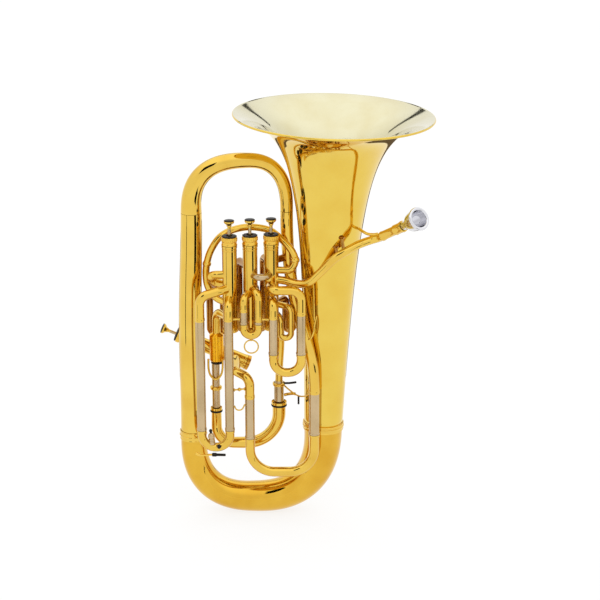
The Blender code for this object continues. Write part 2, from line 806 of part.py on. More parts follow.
# ---------------------------------------------------------------- side valve pipework
u_slide(
    "fourth_slide", FOURTH_X, FOURTH_Y, FOURTH_RING_Z,
    (FOURTH_RING_Z[0] - RING_DEPTH + GAP, FOURTH_RING_Z[1] - RING_DEPTH + GAP), FOURTH_CROOK_Z,
    (FOURTH_CROOK_R[0] + 1.3, FOURTH_CROOK_R[1] + 1.6), FOURTH_CROOK_R, FOURTH_WALL,
    FOURTH_CORNER,
)
feed = [
    Vector((FOURTH_X[0], FOURTH_Y, BOX_Z[0] - GAP)),
    Vector((FOURTH_X[0], FOURTH_Y, FOURTH_LEG_END_Z[0])),
]
tube(
    "fourth_inner_leg", feed, FOURTH_LEG_R[0], FOURTH_LEG_R[0] - TUBE_WALL, NICKEL,
    SLIDE_SIDES, Y_SIDE,
)

# pipe from the third valve, opening into the wide port box at its lower end
link = fillet(
    [
        axis_point(3, BOX_PORT_Z),
        Vector((BOX_X, FOURTH_Y, BOX_PORT_Z)),
        Vector((BOX_X, FOURTH_Y, BOX_Z[0])),
    ],
    15.0,
    3,
)
run = lengths(link)[-1]
tall = BOX_Z[1] - BOX_Z[0]
link_outer = [
    (0.0, TUBE_R), (run - tall, TUBE_R), (run - tall + 3.0, BOX_R),
    (run - 3.0, BOX_R), (run, FOURTH_LEG_R[0] + 1.0),
]
link_inner = [
    (0.0, TUBE_R - TUBE_WALL), (run - tall + 1.0, TUBE_R - TUBE_WALL),
    (run - tall + 4.0, BOX_R - BOX_WALL), (run - 4.0, BOX_R - BOX_WALL),
    (run, FOURTH_LEG_R[0] - TUBE_WALL),
]
trim(tube("third_to_fourth_pipe", link, link_outer, link_inner, BRASS), "3")

# pipe from the fourth slide's right leg up to the first valve
back_path = spline(
    [
        Vector((FOURTH_X[1], FOURTH_Y, FOURTH_LEG_END_Z[1])),
        Vector((FOURTH_X[1], FOURTH_Y, FOURTH_LEG_TOP_Z)),
        Vector((41.5, 10.5, 245.0)),
        Vector((43.5, 8.5, 278.0)),
        Vector((43.5, 4.0, 308.0)),
        Vector((42.5, -2.0, 325.0)),
        Vector((37.0, -10.0, 337.0)),
        axis_point(1, RETURN_PORT_Z),
    ],
    1,
)
stub = FOURTH_LEG_TOP_Z - FOURTH_LEG_END_Z[1]
run = lengths(back_path)[-1]
back_outer = [
    (0.0, FOURTH_LEG_R[1]), (stub, FOURTH_LEG_R[1]), (stub + 5.0, RETURN_R), (run, RETURN_R)
]
back_inner = [(s, r - TUBE_WALL) for s, r in back_outer]
trim(tube("fourth_return_pipe", back_path, back_outer, back_inner, BRASS), "1")

# crook from the side valve round to the main tuning slide
port = side_foot + side_axis * SIDE_PORT_RUN
crook = fillet(
    [
        port,
        Vector((-26.0, -22.0, 247.0)),
        Vector((MAIN_SLIDE_X[0], MAIN_SLIDE_Y, 243.0)),
        Vector((MAIN_SLIDE_X[0], MAIN_SLIDE_Y, MAIN_SLEEVE_TOP[0] + GAP)),
    ],
    (14.0, 15.0),
    3,
)
trim(
    tube(
        "fourth_to_main_crook", crook, MAIN_SLEEVE_R[0] - 0.1, MAIN_SLEEVE_R[0] - 0.8, BRASS
    ),
    "4",
)

# ---------------------------------------------------------------- compensating pipes
arch = spline(
    [
        axis_point(1, ARCH_PORT_Z[0]),
        Vector((48.0, -23.0, ARCH_PORT_Z[0])),
        Vector((60.0, -25.0, 414.0)),
        Vector((66.5, -21.5, 426.0)),
        Vector((62.5, -17.0, 439.0)),
        Vector((54.0, -11.5, 449.0)),
        Vector((43.0, -3.8, 457.5)),
        Vector((30.0, 9.0, 464.5)),
        Vector((13.0, 14.0, 468.0)),
        Vector((-8.0, 15.0, 469.0)),
        Vector((-31.0, 12.5, 464.5)),
        Vector((-49.0, 8.0, 455.0)),
        Vector((-62.0, 3.0, 437.0)),
        Vector((-68.5, 0.0, 418.0)),
        Vector((-70.5, -1.0, 397.0)),
        Vector((-67.0, -4.0, 378.0)),
        Vector((-54.0, -12.0, 363.0)),
        axis_point(3, ARCH_PORT_Z[1]),
    ],
    1,
)
trim(tube("arch_pipe", arch, SMALL_TUBE_R, SMALL_TUBE_R - TUBE_WALL, BRASS), "1", "3")

u_pipe = fillet(
    [
        axis_point(1, FIRST_LOOP_PORT_Z[0]),
        Vector((44.0, -36.0, FIRST_LOOP_PORT_Z[0])),
        Vector((44.0, -36.0, 307.0)),
        Vector((60.0, -36.0, 307.0)),
        Vector((60.0, -36.0, FIRST_LOOP_PORT_Z[1])),
        axis_point(1, FIRST_LOOP_PORT_Z[1]),
    ],
    (9.0, 7.9, 7.9, 9.0),
    2,
)
trim(
    tube("first_compensating_pipe", u_pipe, FIRST_LOOP_R, FIRST_LOOP_R - TUBE_WALL, BRASS), "1"
)

c_pipe = fillet(
    [
        axis_point(3, THIRD_LOOP_PORT_Z[0]),
        Vector((-62.0, -28.0, THIRD_LOOP_PORT_Z[0])),
        Vector((-62.0, -9.0, THIRD_LOOP_PORT_Z[1])),
        axis_point(3, THIRD_LOOP_PORT_Z[1]),
    ],
    (9.0, 9.0),
    3,
)
trim(
    tube("third_compensating_pipe", c_pipe, THIRD_LOOP_R, THIRD_LOOP_R - TUBE_WALL, BRASS), "3"
)

link = fillet(
    [
        axis_point(2, LINK_PORT_Z),
        Vector((9.0, -40.0, LINK_PORT_Z)),
        Vector((23.0, -39.0, LINK_PORT_Z)),
        axis_point(1, LINK_PORT_Z),
    ],
    (8.0, 8.0),
    3,
)
trim(tube("valve_link_knuckle", link, LINK_R, LINK_R - TUBE_WALL, NICKEL), "1", "2")

# ---------------------------------------------------------------- mouthpiece line
lead = spline(
    [
        RECEIVER_FOOT - LINE * GAP,
        RECEIVER_FOOT - LINE * 4.0,
        RECEIVER_FOOT - LINE * 9.0,
        Vector((181.5, -48.0, 468.0)),
        Vector((169.0, -51.0, 464.5)),
        Vector((155.8, -56.0, 460.0)),
        Vector((127.0, -59.5, 443.0)),
        Vector((104.5, -50.5, 417.5)),
        Vector((87.0, -41.0, 398.5)),
        Vector((70.0, -33.0, 393.5)),
        Vector((51.0, -24.0, 395.5)),
        axis_point(1, LEAD_PORT_Z),
    ],
    2,
)
trim(tube("leadpipe", lead, LEAD_R, LEAD_R - 0.8, BRASS), "1")

receiver = [
    (RECEIVER_R, 0.0),
    (RECEIVER_R, RECEIVER_LENGTH - RECEIVER_COLLAR - 2.0),
    (RECEIVER_R + 1.0, RECEIVER_LENGTH - RECEIVER_COLLAR),
    (RECEIVER_R + 1.4, RECEIVER_LENGTH - 1.5),
    (RECEIVER_R + 0.7, RECEIVER_LENGTH),
    (RECEIVER_R - 0.7, RECEIVER_LENGTH),
    (RECEIVER_R - 1.3, RECEIVER_LENGTH - MOUTH_INSERT - 2.0),
    (RECEIVER_R - 1.8, 0.0),
]
lathe("mouthpiece_receiver", receiver, SLIDE_SIDES, BRASS, RECEIVER_FOOT, LINE)

shank_r = RECEIVER_R - 0.7 - GAP
mouth = [
    (shank_r - 0.6, 0.0),
    (shank_r, MOUTH_INSERT),
    (shank_r + 0.3, MOUTH_INSERT + 9.0),
    (shank_r + 2.6, MOUTH_INSERT + 15.0),
    (12.6, MOUTH_INSERT + 22.0),
    (15.2, MOUTH_INSERT + 29.0),
    (15.9, MOUTH_LENGTH - 5.0),
    (MOUTH_RIM_R, MOUTH_LENGTH - 3.0),
    (MOUTH_RIM_R - 0.6, MOUTH_LENGTH - 0.8),
    (MOUTH_RIM_R - 2.6, MOUTH_LENGTH),
    (MOUTH_RIM_R - 5.0, MOUTH_LENGTH - 1.6),
    (11.4, MOUTH_LENGTH - 10.0),
    (8.4, MOUTH_LENGTH - 19.0),
    (3.4, MOUTH_LENGTH - 27.0),
    (3.4, MOUTH_LENGTH - 31.0),
    (shank_r - 1.8, 0.0),
]
mouth_foot = RECEIVER_FOOT + LINE * (RECEIVER_LENGTH - MOUTH_INSERT)
lathe("mouthpiece", mouth, VALVE_SIDES, SILVER, mouth_foot, LINE)

# ---------------------------------------------------------------- stay and water key
left_post = Vector((THIRD_X[1], THIRD_Y, STAY_Z))
right_post = Vector((MAIN_SLIDE_X[0], MAIN_SLIDE_Y, STAY_Z))
along = (right_post - left_post).normalized()
span = (right_post - left_post).length
start = SLEEVE_R + GAP
end = span - MAIN_SLEEVE_R[0] - GAP
middle = (start + end) / 2
stay = [
    (0.0, start), (2.8, start), (1.3, start + 2.0), (1.3, middle - 2.6), (3.0, middle - 1.2),
    (3.0, middle + 1.2), (1.3, middle + 2.6), (1.3, end - 2.0), (2.8, end), (0.0, end),
]
lathe("slide_stay", stay, 8, BRASS, left_post, along, loop=False)

lever_run = KEY_X[1] - KEY_X[0]
pad = THIRD_X[0] / 2 + THIRD_X[1] / 2 - KEY_X[0]
lever = [
    Vector((KEY_X[0], KEY_Y, KEY_Z + 3.0)),
    Vector((KEY_X[0] + 8.0, KEY_Y, KEY_Z)),
    Vector((KEY_X[0] + lever_run * 0.5, THIRD_Y, KEY_Z - 0.5)),
    Vector((KEY_X[1], THIRD_Y, KEY_Z - 1.0)),
]
run = lengths(lever)[-1]
table = [
    (0.0, 2.2), (6.0, KEY_R), (pad - 4.0, KEY_R), (pad - 3.0, PAD_R),
    (pad + 3.0, PAD_R), (pad + 4.0, KEY_R), (run, KEY_R),
]
key_rings = surface(lever, table, 8, Vector((0, 0, 1)))
pivot = Vector((KEY_PIVOT_X, KEY_Y, KEY_Z))
make("water_key", key_rings, DARK_BRASS, at=pivot)
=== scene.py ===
"""Compensating euphonium, polished and detailed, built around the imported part.

The pieces here follow the CAD's own driving dimensions (millimetres), skinned
finely enough for mirror-bright brass. Frame: origin under the bottom bow, +X
towards the bell, +Z up.
"""
import json
import math

import bmesh
import bpy
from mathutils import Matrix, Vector

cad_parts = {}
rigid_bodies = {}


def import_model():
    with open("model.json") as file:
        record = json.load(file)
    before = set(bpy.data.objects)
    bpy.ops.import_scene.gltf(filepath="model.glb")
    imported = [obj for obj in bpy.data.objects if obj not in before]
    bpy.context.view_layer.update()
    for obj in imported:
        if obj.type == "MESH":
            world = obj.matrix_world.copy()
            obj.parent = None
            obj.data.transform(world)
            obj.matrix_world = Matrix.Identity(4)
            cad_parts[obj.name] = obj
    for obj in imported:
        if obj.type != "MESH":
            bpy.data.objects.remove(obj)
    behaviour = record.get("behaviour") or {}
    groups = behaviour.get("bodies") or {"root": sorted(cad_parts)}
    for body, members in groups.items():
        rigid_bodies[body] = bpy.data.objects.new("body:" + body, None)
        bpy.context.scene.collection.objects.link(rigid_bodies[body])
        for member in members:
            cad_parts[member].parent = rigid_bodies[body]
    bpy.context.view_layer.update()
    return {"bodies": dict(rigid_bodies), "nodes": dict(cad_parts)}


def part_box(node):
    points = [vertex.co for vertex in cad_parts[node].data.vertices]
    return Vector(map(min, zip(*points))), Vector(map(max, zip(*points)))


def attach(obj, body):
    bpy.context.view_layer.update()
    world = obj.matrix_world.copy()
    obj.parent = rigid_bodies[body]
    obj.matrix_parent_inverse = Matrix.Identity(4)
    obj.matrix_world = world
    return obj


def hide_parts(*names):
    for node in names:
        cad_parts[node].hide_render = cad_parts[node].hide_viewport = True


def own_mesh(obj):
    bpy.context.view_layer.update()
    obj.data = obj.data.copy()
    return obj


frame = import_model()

MM = 0.001
GAP = 0.3
ROOT = "instrument"

# ------------------------------------------------------------ driving dimensions
# bell
BELL_FOOT = Vector((110.5, 0.0, 148.7))
BELL_LEAN = math.radians(1.6)
BELL_LENGTH = 499.5
BELL_RIM_R = 150.9
BELL_FLARE_X0 = 20.5
BELL_FLARE_POWER = 0.496
BELL_WALL = 0.8

# bows and branches; the radii are start, middle and end, but the bottom bow's end is the bell's
MAIN_WALL = 0.9
BOW_POWER = 2.5
END_RUN = 4.0
BOTTOM_BOW_R = (19.6, 24.9)
BOTTOM_BOW_APEX = (0.0, 24.1)
BRANCH_X = -95.0
BRANCH_FOOT_Z = 133.0
BRANCH_TOP_X = -91.4
BRANCH_TOP_Z = 496.7
BRANCH_TOP_R = 16.2
BRANCH_BULGE = 3.0
TOP_BOW_APEX = (-8.0, 576.7)
TOP_BOW_R = (16.2, 12.0, 9.9)
SMALL_X = 53.5
SMALL_Y = 10.0
SMALL_BRANCH_R = (9.9, 8.2)

# valves
VALVE_AXES = ((30.0, -18.0), (-2.0, -23.0), (-33.0, -28.0))
CASING_R = 11.2
CASING_BORE = 9.9
CASING_Z = (320.5, 453.5)
PISTON_R = 9.6
PISTON_BORE = 8.2
PISTON_LENGTH = 98.0
CAP_R = 12.3
CAP_HEIGHT = 14.0
BOTTOM_CAP_HEIGHT = 6.5
CAP_FLOOR = 1.6
CAP_ROOF = 2.6
PISTON_CLEAR = 1.5
RECESS = 22.0
STEM_R = 2.6
CAP_HOLE_R = 5.0
BUTTON_R = 8.0
BUTTON_HEIGHT = 5.6
BUTTON_LIFT = 19.6
SIDE_TOP = Vector((-120.5, 34.5, 288.0))
SIDE_SLOPE = math.radians(23.5)
SIDE_CASING_LENGTH = 104.0
SIDE_PISTON_LENGTH = 68.0
SPRING_R = 6.8
SPRING_WIRE_R = 0.7
SPRING_TURNS = 4
SPRING_STEPS = 28
CAP_RIDGES = 22
PAD_LOBES = 11

# slides and small pipes; pairs run left to right, or low to high for one sleeve's Z
SLIDE_WALL = 0.7
SLEEVE_R = 7.1
SLEEVE_BORE = 6.4
LEG_R = 6.1
CROOK_R = 7.0
TUBE_R = 6.6
TUBE_WALL = 0.7
SHOULDER = 1.2
SMALL_TUBE_R = 5.5
FIRST_COMP_R = 4.8
THIRD_COMP_R = 6.6
LINK_R = 5.2
LEADPIPE_R = 6.3
LEADPIPE_BORE = 5.5
RETURN_R = 5.9
FIRST_X = (33.4, 75.4)
FIRST_Y = -52.0
FIRST_SLEEVE_Z = (286.5, 352.5)
FIRST_CROOK_Z = 256.4
FIRST_PORT_Z = (369.0, 389.0)
SECOND_X = (-11.9, 10.7)
SECOND_Y = -48.0
SECOND_MOUTH_Z = 334.0
SECOND_PORT_Z = (376.0, 384.0)
SECOND_CROOK_Z = 315.4
SECOND_R_CUT = 0.9
THIRD_X = (-78.5, -35.0)
THIRD_Y = -50.0
THIRD_SLEEVE_Z = (160.0, 342.0)
THIRD_PORT_Z = (385.5, 367.0)
THIRD_CROOK_Z = 131.0
RING_R = 10.6
RING_WIRE_R = 1.1
RING_Z = 297.3
MAIN_SLIDE_X = (-4.0, 96.0)
MAIN_SLIDE_Y = -42.0
MAIN_SLEEVE_R = (7.5, 8.2)
MAIN_SLEEVE_Z = (143.0, 149.5)
MAIN_SLEEVE_TOP = (212.6, 220.6)
MAIN_CROOK_Z = 85.5
FOURTH_X = (-58.5, 40.7)
FOURTH_Y = 10.7
FOURTH_RING_Z = (173.5, 183.5)
FOURTH_LEG_R = (6.4, 7.9)
FOURTH_CROOK_R = (7.9, 10.6)
FOURTH_CROOK_Z = 112.5
FOURTH_CORNER = (28.0, 52.0)
FOURTH_LEG_END_Z = (143.0, 166.0)
FOURTH_LEG_TOP_Z = 214.0
FOURTH_WALL = 0.8
RING_DEPTH = 4.0
BOX_X = -56.5
BOX_R = 11.2
BOX_Z = (251.0, 298.0)

# mouthpiece line
RECEIVER_FOOT = Vector((196.5, -58.0, 476.7))
LINE = Vector((0.52, -0.70, 0.49)).normalized()
RECEIVER_LENGTH = 56.0
RECEIVER_COLLAR = 20.0
RECEIVER_R = 7.0
MOUTH_INSERT = 26.0
MOUTH_LENGTH = 67.0
MOUTH_RIM_R = 17.6

# slide stay and water key
STAY_Z = 226.0
KEY_Y = -57.0
KEY_X = (-88.0, -42.0)
KEY_Z = 118.5

X_SIDE = Vector((1, 0, 0))
Y_SIDE = Vector((0, 1, 0))
Z_SIDE = Vector((0, 0, 1))
bell_axis = Vector((math.sin(BELL_LEAN), 0.0, math.cos(BELL_LEAN)))
side_axis = Vector((-math.cos(SIDE_SLOPE), 0.0, math.sin(SIDE_SLOPE)))
side_foot = SIDE_TOP - side_axis * (SIDE_CASING_LENGTH + GAP + CAP_HEIGHT)


# ------------------------------------------------------------ materials
def fill(node, **values):
    """Set a node's inputs by name; an underscore stands for a space."""
    for key, entry in values.items():
        node.inputs[key.replace("_", " ")].default_value = entry
    return node


def surface(name, **values):
    """New material with its shader filled in; returns it, nodes, links and shader."""
    mat = bpy.data.materials.new(name)
    mat.use_nodes = True
    nodes = mat.node_tree.nodes
    shader = fill(nodes["Principled BSDF"], **values)
    return mat, nodes, mat.node_tree.links, shader


def two_tone(nodes, links, place, shader, spots, deep, colour, low, high):
    """Base colour that drifts between two colours over a noise."""
    tone = nodes.new("ShaderNodeValToRGB")
    ends = tone.color_ramp.elements
    ends[0].position = low
    ends[0].color = (*deep, 1.0)
    ends[1].position = high
    ends[1].color = (*colour, 1.0)
    links.new(place.outputs["Object"], spots.inputs["Vector"])
    links.new(spots.outputs["Fac"], tone.inputs["Fac"])
    links.new(tone.outputs["Color"], shader.inputs["Base Color"])


def metal(name, colour, deep, roughness, coat=0.0, grain=0.12, wave=0.00006):
    """Polished metal: tone drifts between two colours, fine buffing lines, soft waves."""
    scratch = 0.35
    mat, nodes, links, shader = surface(name, Metallic=1.0, Coat_Weight=coat, Coat_Roughness=0.04)
    place = nodes.new("ShaderNodeTexCoord")
    drift = fill(nodes.new("ShaderNodeTexNoise"), Scale=22.0, Detail=3.0)
    two_tone(nodes, links, place, shader, drift, deep, colour, 0.3, 0.62)

    buff = fill(nodes.new("ShaderNodeTexNoise"), Scale=420.0, Detail=5.0, Roughness=0.7)
    span = fill(nodes.new("ShaderNodeMapRange"), From_Min=0.3, From_Max=0.7,
                To_Min=roughness * (1.0 - scratch), To_Max=roughness * (1.0 + scratch))
    links.new(place.outputs["Object"], buff.inputs["Vector"])
    links.new(buff.outputs["Fac"], span.inputs["Value"])
    links.new(span.outputs["Result"], shader.inputs["Roughness"])

    swell = fill(nodes.new("ShaderNodeTexNoise"), Scale=30.0, Detail=1.0)
    soft = fill(nodes.new("ShaderNodeBump"), Strength=1.0, Distance=wave)
    fine = fill(nodes.new("ShaderNodeBump"), Strength=grain, Distance=0.00001)
    links.new(place.outputs["Object"], swell.inputs["Vector"])
    links.new(swell.outputs["Fac"], soft.inputs["Height"])
    links.new(buff.outputs["Fac"], fine.inputs["Height"])
    links.new(soft.outputs["Normal"], fine.inputs["Normal"])
    links.new(fine.outputs["Normal"], shader.inputs["Normal"])
    return mat


def matte(name, colour, deep, roughness, scale, bump):
    """Black pearl or rubber: mottled colour with a fine relief."""
    mat, nodes, links, shader = surface(name, Roughness=roughness, Specular_IOR_Level=0.12)
    place = nodes.new("ShaderNodeTexCoord")
    spots = fill(nodes.new("ShaderNodeTexNoise"), Scale=scale, Detail=6.0)
    two_tone(nodes, links, place, shader, spots, deep, colour, 0.35, 0.7)
    relief = fill(nodes.new("ShaderNodeBump"), Strength=0.5, Distance=bump)
    links.new(spots.outputs["Fac"], relief.inputs["Height"])
    links.new(relief.outputs["Normal"], shader.inputs["Normal"])
    return mat


BRASS = metal("lacquered_brass", (0.81, 0.54, 0.085), (0.74, 0.46, 0.06), 0.055, 0.35)
BELL_BRASS = metal("bell_brass", (0.80, 0.57, 0.09), (0.77, 0.52, 0.07), 0.05, 0.35, wave=0.00015)
# painted highlight: the inside of the bell is a pale cream, standing in for the bright overhead
# light reflected there
BELL_INSIDE_PAINTED_HIGHLIGHT = metal("bell_inside_painted_highlight", (0.72, 0.68, 0.46), (0.68, 0.62, 0.38), 0.08, 0.35)
# painted shade: the bottom bow is darker and more orange, standing in for the shaded floor it
# reflects
PAINTED_SHADE_BOW_BRASS = metal("bow_painted_shade_brass", (0.76, 0.45, 0.04), (0.68, 0.37, 0.022), 0.07, 0.35)
CAP_BRASS = metal("cap_brass", (0.86, 0.56, 0.09), (0.78, 0.47, 0.06), 0.1, 0.2)
# painted shade: pipes deep among the valves get this dark brown brass, which stands in for the
# shade and dark reflections there
PAINTED_SHADE_BRASS = metal("brass_painted_dark_shade", (0.52, 0.27, 0.05), (0.30, 0.12, 0.025), 0.12, 0.1)
# painted highlight: the port box is a flat, brighter amber, standing in for a bright reflection on
# it
BOX_PAINTED_HIGHLIGHT_BRASS = metal("box_painted_highlight_brass", (0.94, 0.50, 0.02), (0.90, 0.45, 0.015), 0.28, 0.1)
NICKEL = metal("nickel_silver", (0.60, 0.45, 0.26), (0.49, 0.36, 0.19), 0.18, 0.1, grain=0.3)
SILVER = metal("silver_plate", (0.76, 0.76, 0.79), (0.66, 0.66, 0.69), 0.08)
STEEL = metal("spring_steel", (0.56, 0.57, 0.59), (0.48, 0.49, 0.51), 0.22)
MONEL = metal("piston_metal", (0.62, 0.60, 0.56), (0.55, 0.53, 0.5), 0.2)
PEARL = matte("black_pearl_inlay", (0.03, 0.026, 0.022), (0.012, 0.01, 0.009), 0.18, 260.0,
              0.00001)
RUBBER = matte("black_rubber", (0.03, 0.026, 0.024), (0.012, 0.01, 0.009), 0.4, 500.0, 0.00005)


# ------------------------------------------------------------ mesh tools
def ring_points(centre, a, b, radius, sides):
    """Points of a circle about centre; radius may be a function of the angle."""
    points = []
    for i in range(sides):
        t = 2.0 * math.pi * i / sides
        r = radius(t) if callable(radius) else radius
        points.append(centre + a * (r * math.cos(t)) + b * (r * math.sin(t)))
    return points


def place_mesh(name, mesh, looks):
    """Put a mesh in the scene with one or more looks."""
    for look in looks if isinstance(looks, (list, tuple)) else [looks]:
        mesh.materials.append(look)
    obj = bpy.data.objects.new(name, mesh)
    bpy.context.collection.objects.link(obj)
    return obj


def skin(name, rings, looks, marks=None, loop=False, edge=0.25):
    """Skin rings of points (mm) into one closed body of one or more metals.

    marks gives the metal number of each band between rings. Sharp edges get a
    fine rounded chamfer so that they catch the light as worked metal does.
    """
    bm = bmesh.new()
    made = [[bm.verts.new(p * MM) for p in ring] for ring in rings]
    bands = list(zip(made, made[1:]))
    if loop:
        bands.append((made[-1], made[0]))
    for k, (low, high) in enumerate(bands):
        count = max(len(low), len(high))
        for i in range(count):
            j = (i + 1) % count
            if len(low) == 1:
                face = bm.faces.new((low[0], high[j], high[i]))
            elif len(high) == 1:
                face = bm.faces.new((low[i], low[j], high[0]))
            else:
                face = bm.faces.new((low[i], low[j], high[j], high[i]))
            face.material_index = marks[k] if marks else 0
    if not loop:
        for end in (made[0], made[-1]):
            if len(end) > 2:
                bm.faces.new(end)
    bmesh.ops.recalc_face_normals(bm, faces=bm.faces)
    mesh = bpy.data.meshes.new(name)
    bm.to_mesh(mesh)
    bm.free()
    for face in mesh.polygons:
        face.use_smooth = True
    obj = place_mesh(name, mesh, looks)
    if edge:
        bevel = obj.modifiers.new("worked_edge", "BEVEL")
        bevel.width = edge * MM
        bevel.segments = 2
        bevel.limit_method = "ANGLE"
        bevel.angle_limit = math.radians(32)
        bevel.harden_normals = True
        bevel.use_clamp_overlap = True
    return obj


def settle(obj, body=None, nodes=()):
    """Ride a piece on its body; nodes are the CAD solids that it stands for."""
    if nodes:
        empty = frame["nodes"][nodes[0]].parent
        body = next(b for b, e in frame["bodies"].items() if e is empty)
        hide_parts(*nodes)
    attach(obj, body)
    if nodes:
        compare(obj, nodes)
    return obj


def stand_for(node, make, *shape, slot=None, **extra):
    """Make the polished piece that stands for one CAD solid."""
    return settle(make("polished_" + node, *shape, **extra), nodes=(node,))


def compare(obj, nodes, slack=0.004):
    """Stop if a piece isn't where the solids it stands for are."""
    low = Vector((1e9, 1e9, 1e9))
    high = -low
    for node in nodes:
        a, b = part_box(node)
        low = Vector(map(min, low, a))
        high = Vector(map(max, high, b))
    points = [v.co for v in obj.data.vertices]
    for axis in range(3):
        least = min(p[axis] for p in points)
        most = max(p[axis] for p in points)
        if abs(least - low[axis]) > slack or abs(most - high[axis]) > slack:
            raise ValueError(f"{obj.name} axis {axis}: {least:.4f}..{most:.4f}, "
                             f"CAD {low[axis]:.4f}..{high[axis]:.4f}")


def lathe(name, profile, sides, looks, foot, axis=Z_SIDE, marks=None, loop=True, edge=0.25,
          side=None):
    """Turn a profile of (radius, height) about an axis; radii may be functions."""
    a = side if side is not None else (Y_SIDE if abs(axis.y) < 0.8 else X_SIDE)
    a = (a - axis * a.dot(axis)).normalized()
    b = axis.cross(a)
    rings = []
    for radius, height in profile:
        centre = foot + axis * height
        if not callable(radius) and radius == 0:
            rings.append([centre])
        else:
            rings.append(ring_points(centre, a, b, radius, sides))
    return skin(name, rings, looks, marks, loop, edge)


def fillet(corners, radii, steps=16):
    """Polyline through corners with every inner corner rounded to an arc."""
    corners = [Vector(p) for p in corners]
    path = [corners[0]]
    for k in range(1, len(corners) - 1):
        p = corners[k]
        u = (corners[k - 1] - p).normalized()
        v = (corners[k + 1] - p).normalized()
        angle = u.angle(v)
        radius = radii[k - 1] if isinstance(radii, (list, tuple)) else radii
        reach = radius / math.tan(angle / 2)
        middle = p + (u + v).normalized() * (radius / math.sin(angle / 2))
        start = p + u * reach - middle
        end = p + v * reach - middle
        turn = math.pi - angle
        for i in range(steps + 1):
            t = i / steps
            a = math.sin((1 - t) * turn) / math.sin(turn)
            b = math.sin(t * turn) / math.sin(turn)
            path.append(middle + start * a + end * b)
    path.append(corners[-1])
    return path


def spline(points, steps=10):
    """Smooth curve through points (Catmull-Rom)."""
    points = [Vector(p) for p in points]
    path = []
    last = len(points) - 1
    for k in range(last):
        p0 = points[max(k - 1, 0)]
        p1 = points[k]
        p2 = points[k + 1]
        p3 = points[min(k + 2, last)]
        for i in range(steps):
            t = i / steps
            a = p1 * 2
            b = (p2 - p0) * t
            c = (p0 * 2 - p1 * 5 + p2 * 4 - p3) * (t * t)
            d = (p1 * 3 - p0 - p2 * 3 + p3) * (t * t * t)
            path.append((a + b + c + d) * 0.5)
    path.append(points[-1])
    return path


def half_bow(left, right, apex, power, steps):
    """Half superellipse from left to right through apex, all (x, z), at y = 0."""
    even = 0.054
    drop = END_RUN if apex[1] > left[1] else -END_RUN
    path = [Vector((left[0], 0.0, left[1]))]
    for i in range(steps + 1):
        t = i / steps
        angle = math.pi * (1 - (t - even * math.sin(4 * math.pi * t)))
        c = math.cos(angle)
        s = max(math.sin(angle), 0.0)
        side = left if c < 0 else right
        x = apex[0] + (side[0] - apex[0]) * abs(c) ** (2 / power)
        base = side[1] + drop
        z = base + (apex[1] - base) * s ** (2 / power)
        path.append(Vector((x, 0.0, z)))
    path.append(Vector((right[0], 0.0, right[1])))
    return path


def lengths(path):
    """Distance along a path at each of its points."""
    out = [0.0]
    for p, q in zip(path, path[1:]):
        out.append(out[-1] + (q - p).length)
    return out


def value(table, s):
    """Linear value of a table of (distance, value) pairs at s."""
    if s <= table[0][0]:
        return table[0][1]
    for (s0, v0), (s1, v1) in zip(table, table[1:]):
        if s <= s1:
            return v1 if s1 == s0 else v0 + (v1 - v0) * (s - s0) / (s1 - s0)
    return table[-1][1]


def smooth_value(low, middle, high, run):
    """Radius at distance s along a run: the parabola through three radii."""
    def radius(s):
        t = s / run
        return low * (1 - t) * (1 - 2 * t) + 4 * middle * t * (1 - t) + high * t * (2 * t - 1)
    return radius


def frames(path, start_side):
    """Tangents and parallel-transported side vectors at every path point."""
    tangents = []
    for k in range(len(path)):
        here = path[k]
        back = (here - path[k - 1]).normalized() if k else Vector((0, 0, 0))
        ahead = Vector((0, 0, 0))
        if k < len(path) - 1:
            ahead = (path[k + 1] - here).normalized()
        tangents.append((back + ahead).normalized())
    side = start_side - tangents[0] * start_side.dot(tangents[0])
    if side.length < 0.1:
        side = Vector((0, 0, 1))
        side -= tangents[0] * side.dot(tangents[0])
    side.normalize()
    sides = [side]
    for k in range(1, len(path)):
        side = sides[-1] - tangents[k] * sides[-1].dot(tangents[k])
        side.normalize()
        sides.append(side)
    return tangents, sides


def stations(path, tables, start_side):
    """Every path point and table distance as (distance, centre, along, side)."""
    spots = lengths(path)
    tangents, side_vectors = frames(path, start_side)
    rows = [(s, path[k], tangents[k], side_vectors[k]) for k, s in enumerate(spots)]
    wanted = sorted({s for table in tables if isinstance(table, list) for s, _ in table})
    for s in wanted:
        if any(abs(s - other) < 0.02 for other in spots) or not 0 < s < spots[-1]:
            continue
        after = next(i for i, other in enumerate(spots) if other > s)
        t = (s - spots[after - 1]) / (spots[after] - spots[after - 1])
        centre = path[after - 1].lerp(path[after], t)
        along = tangents[after - 1].lerp(tangents[after], t).normalized()
        a = side_vectors[after - 1].lerp(side_vectors[after], t)
        a = (a - along * a.dot(along)).normalized()
        rows.append((s, centre, along, a))
    rows.sort(key=lambda row: row[0])
    return rows


def sweep(rows, table, sides):
    """Rings and their distances; a repeated distance in the table is a step."""
    steps = {}
    if isinstance(table, list):
        for (s0, v0), (s1, v1) in zip(table, table[1:]):
            if s0 == s1:
                steps[s0] = (v0, v1)
    rings = []
    spots = []
    for s, centre, along, a in rows:
        b = along.cross(a)
        step = next((v for s0, v in steps.items() if abs(s0 - s) < 0.02), None)
        if step:
            radii = step
        elif callable(table):
            radii = (table(s),)
        elif isinstance(table, list):
            radii = (value(table, s),)
        else:
            radii = (table,)
        for radius in radii:
            rings.append(ring_points(centre, a, b, radius, sides))
            spots.append(s)
    return rings, spots


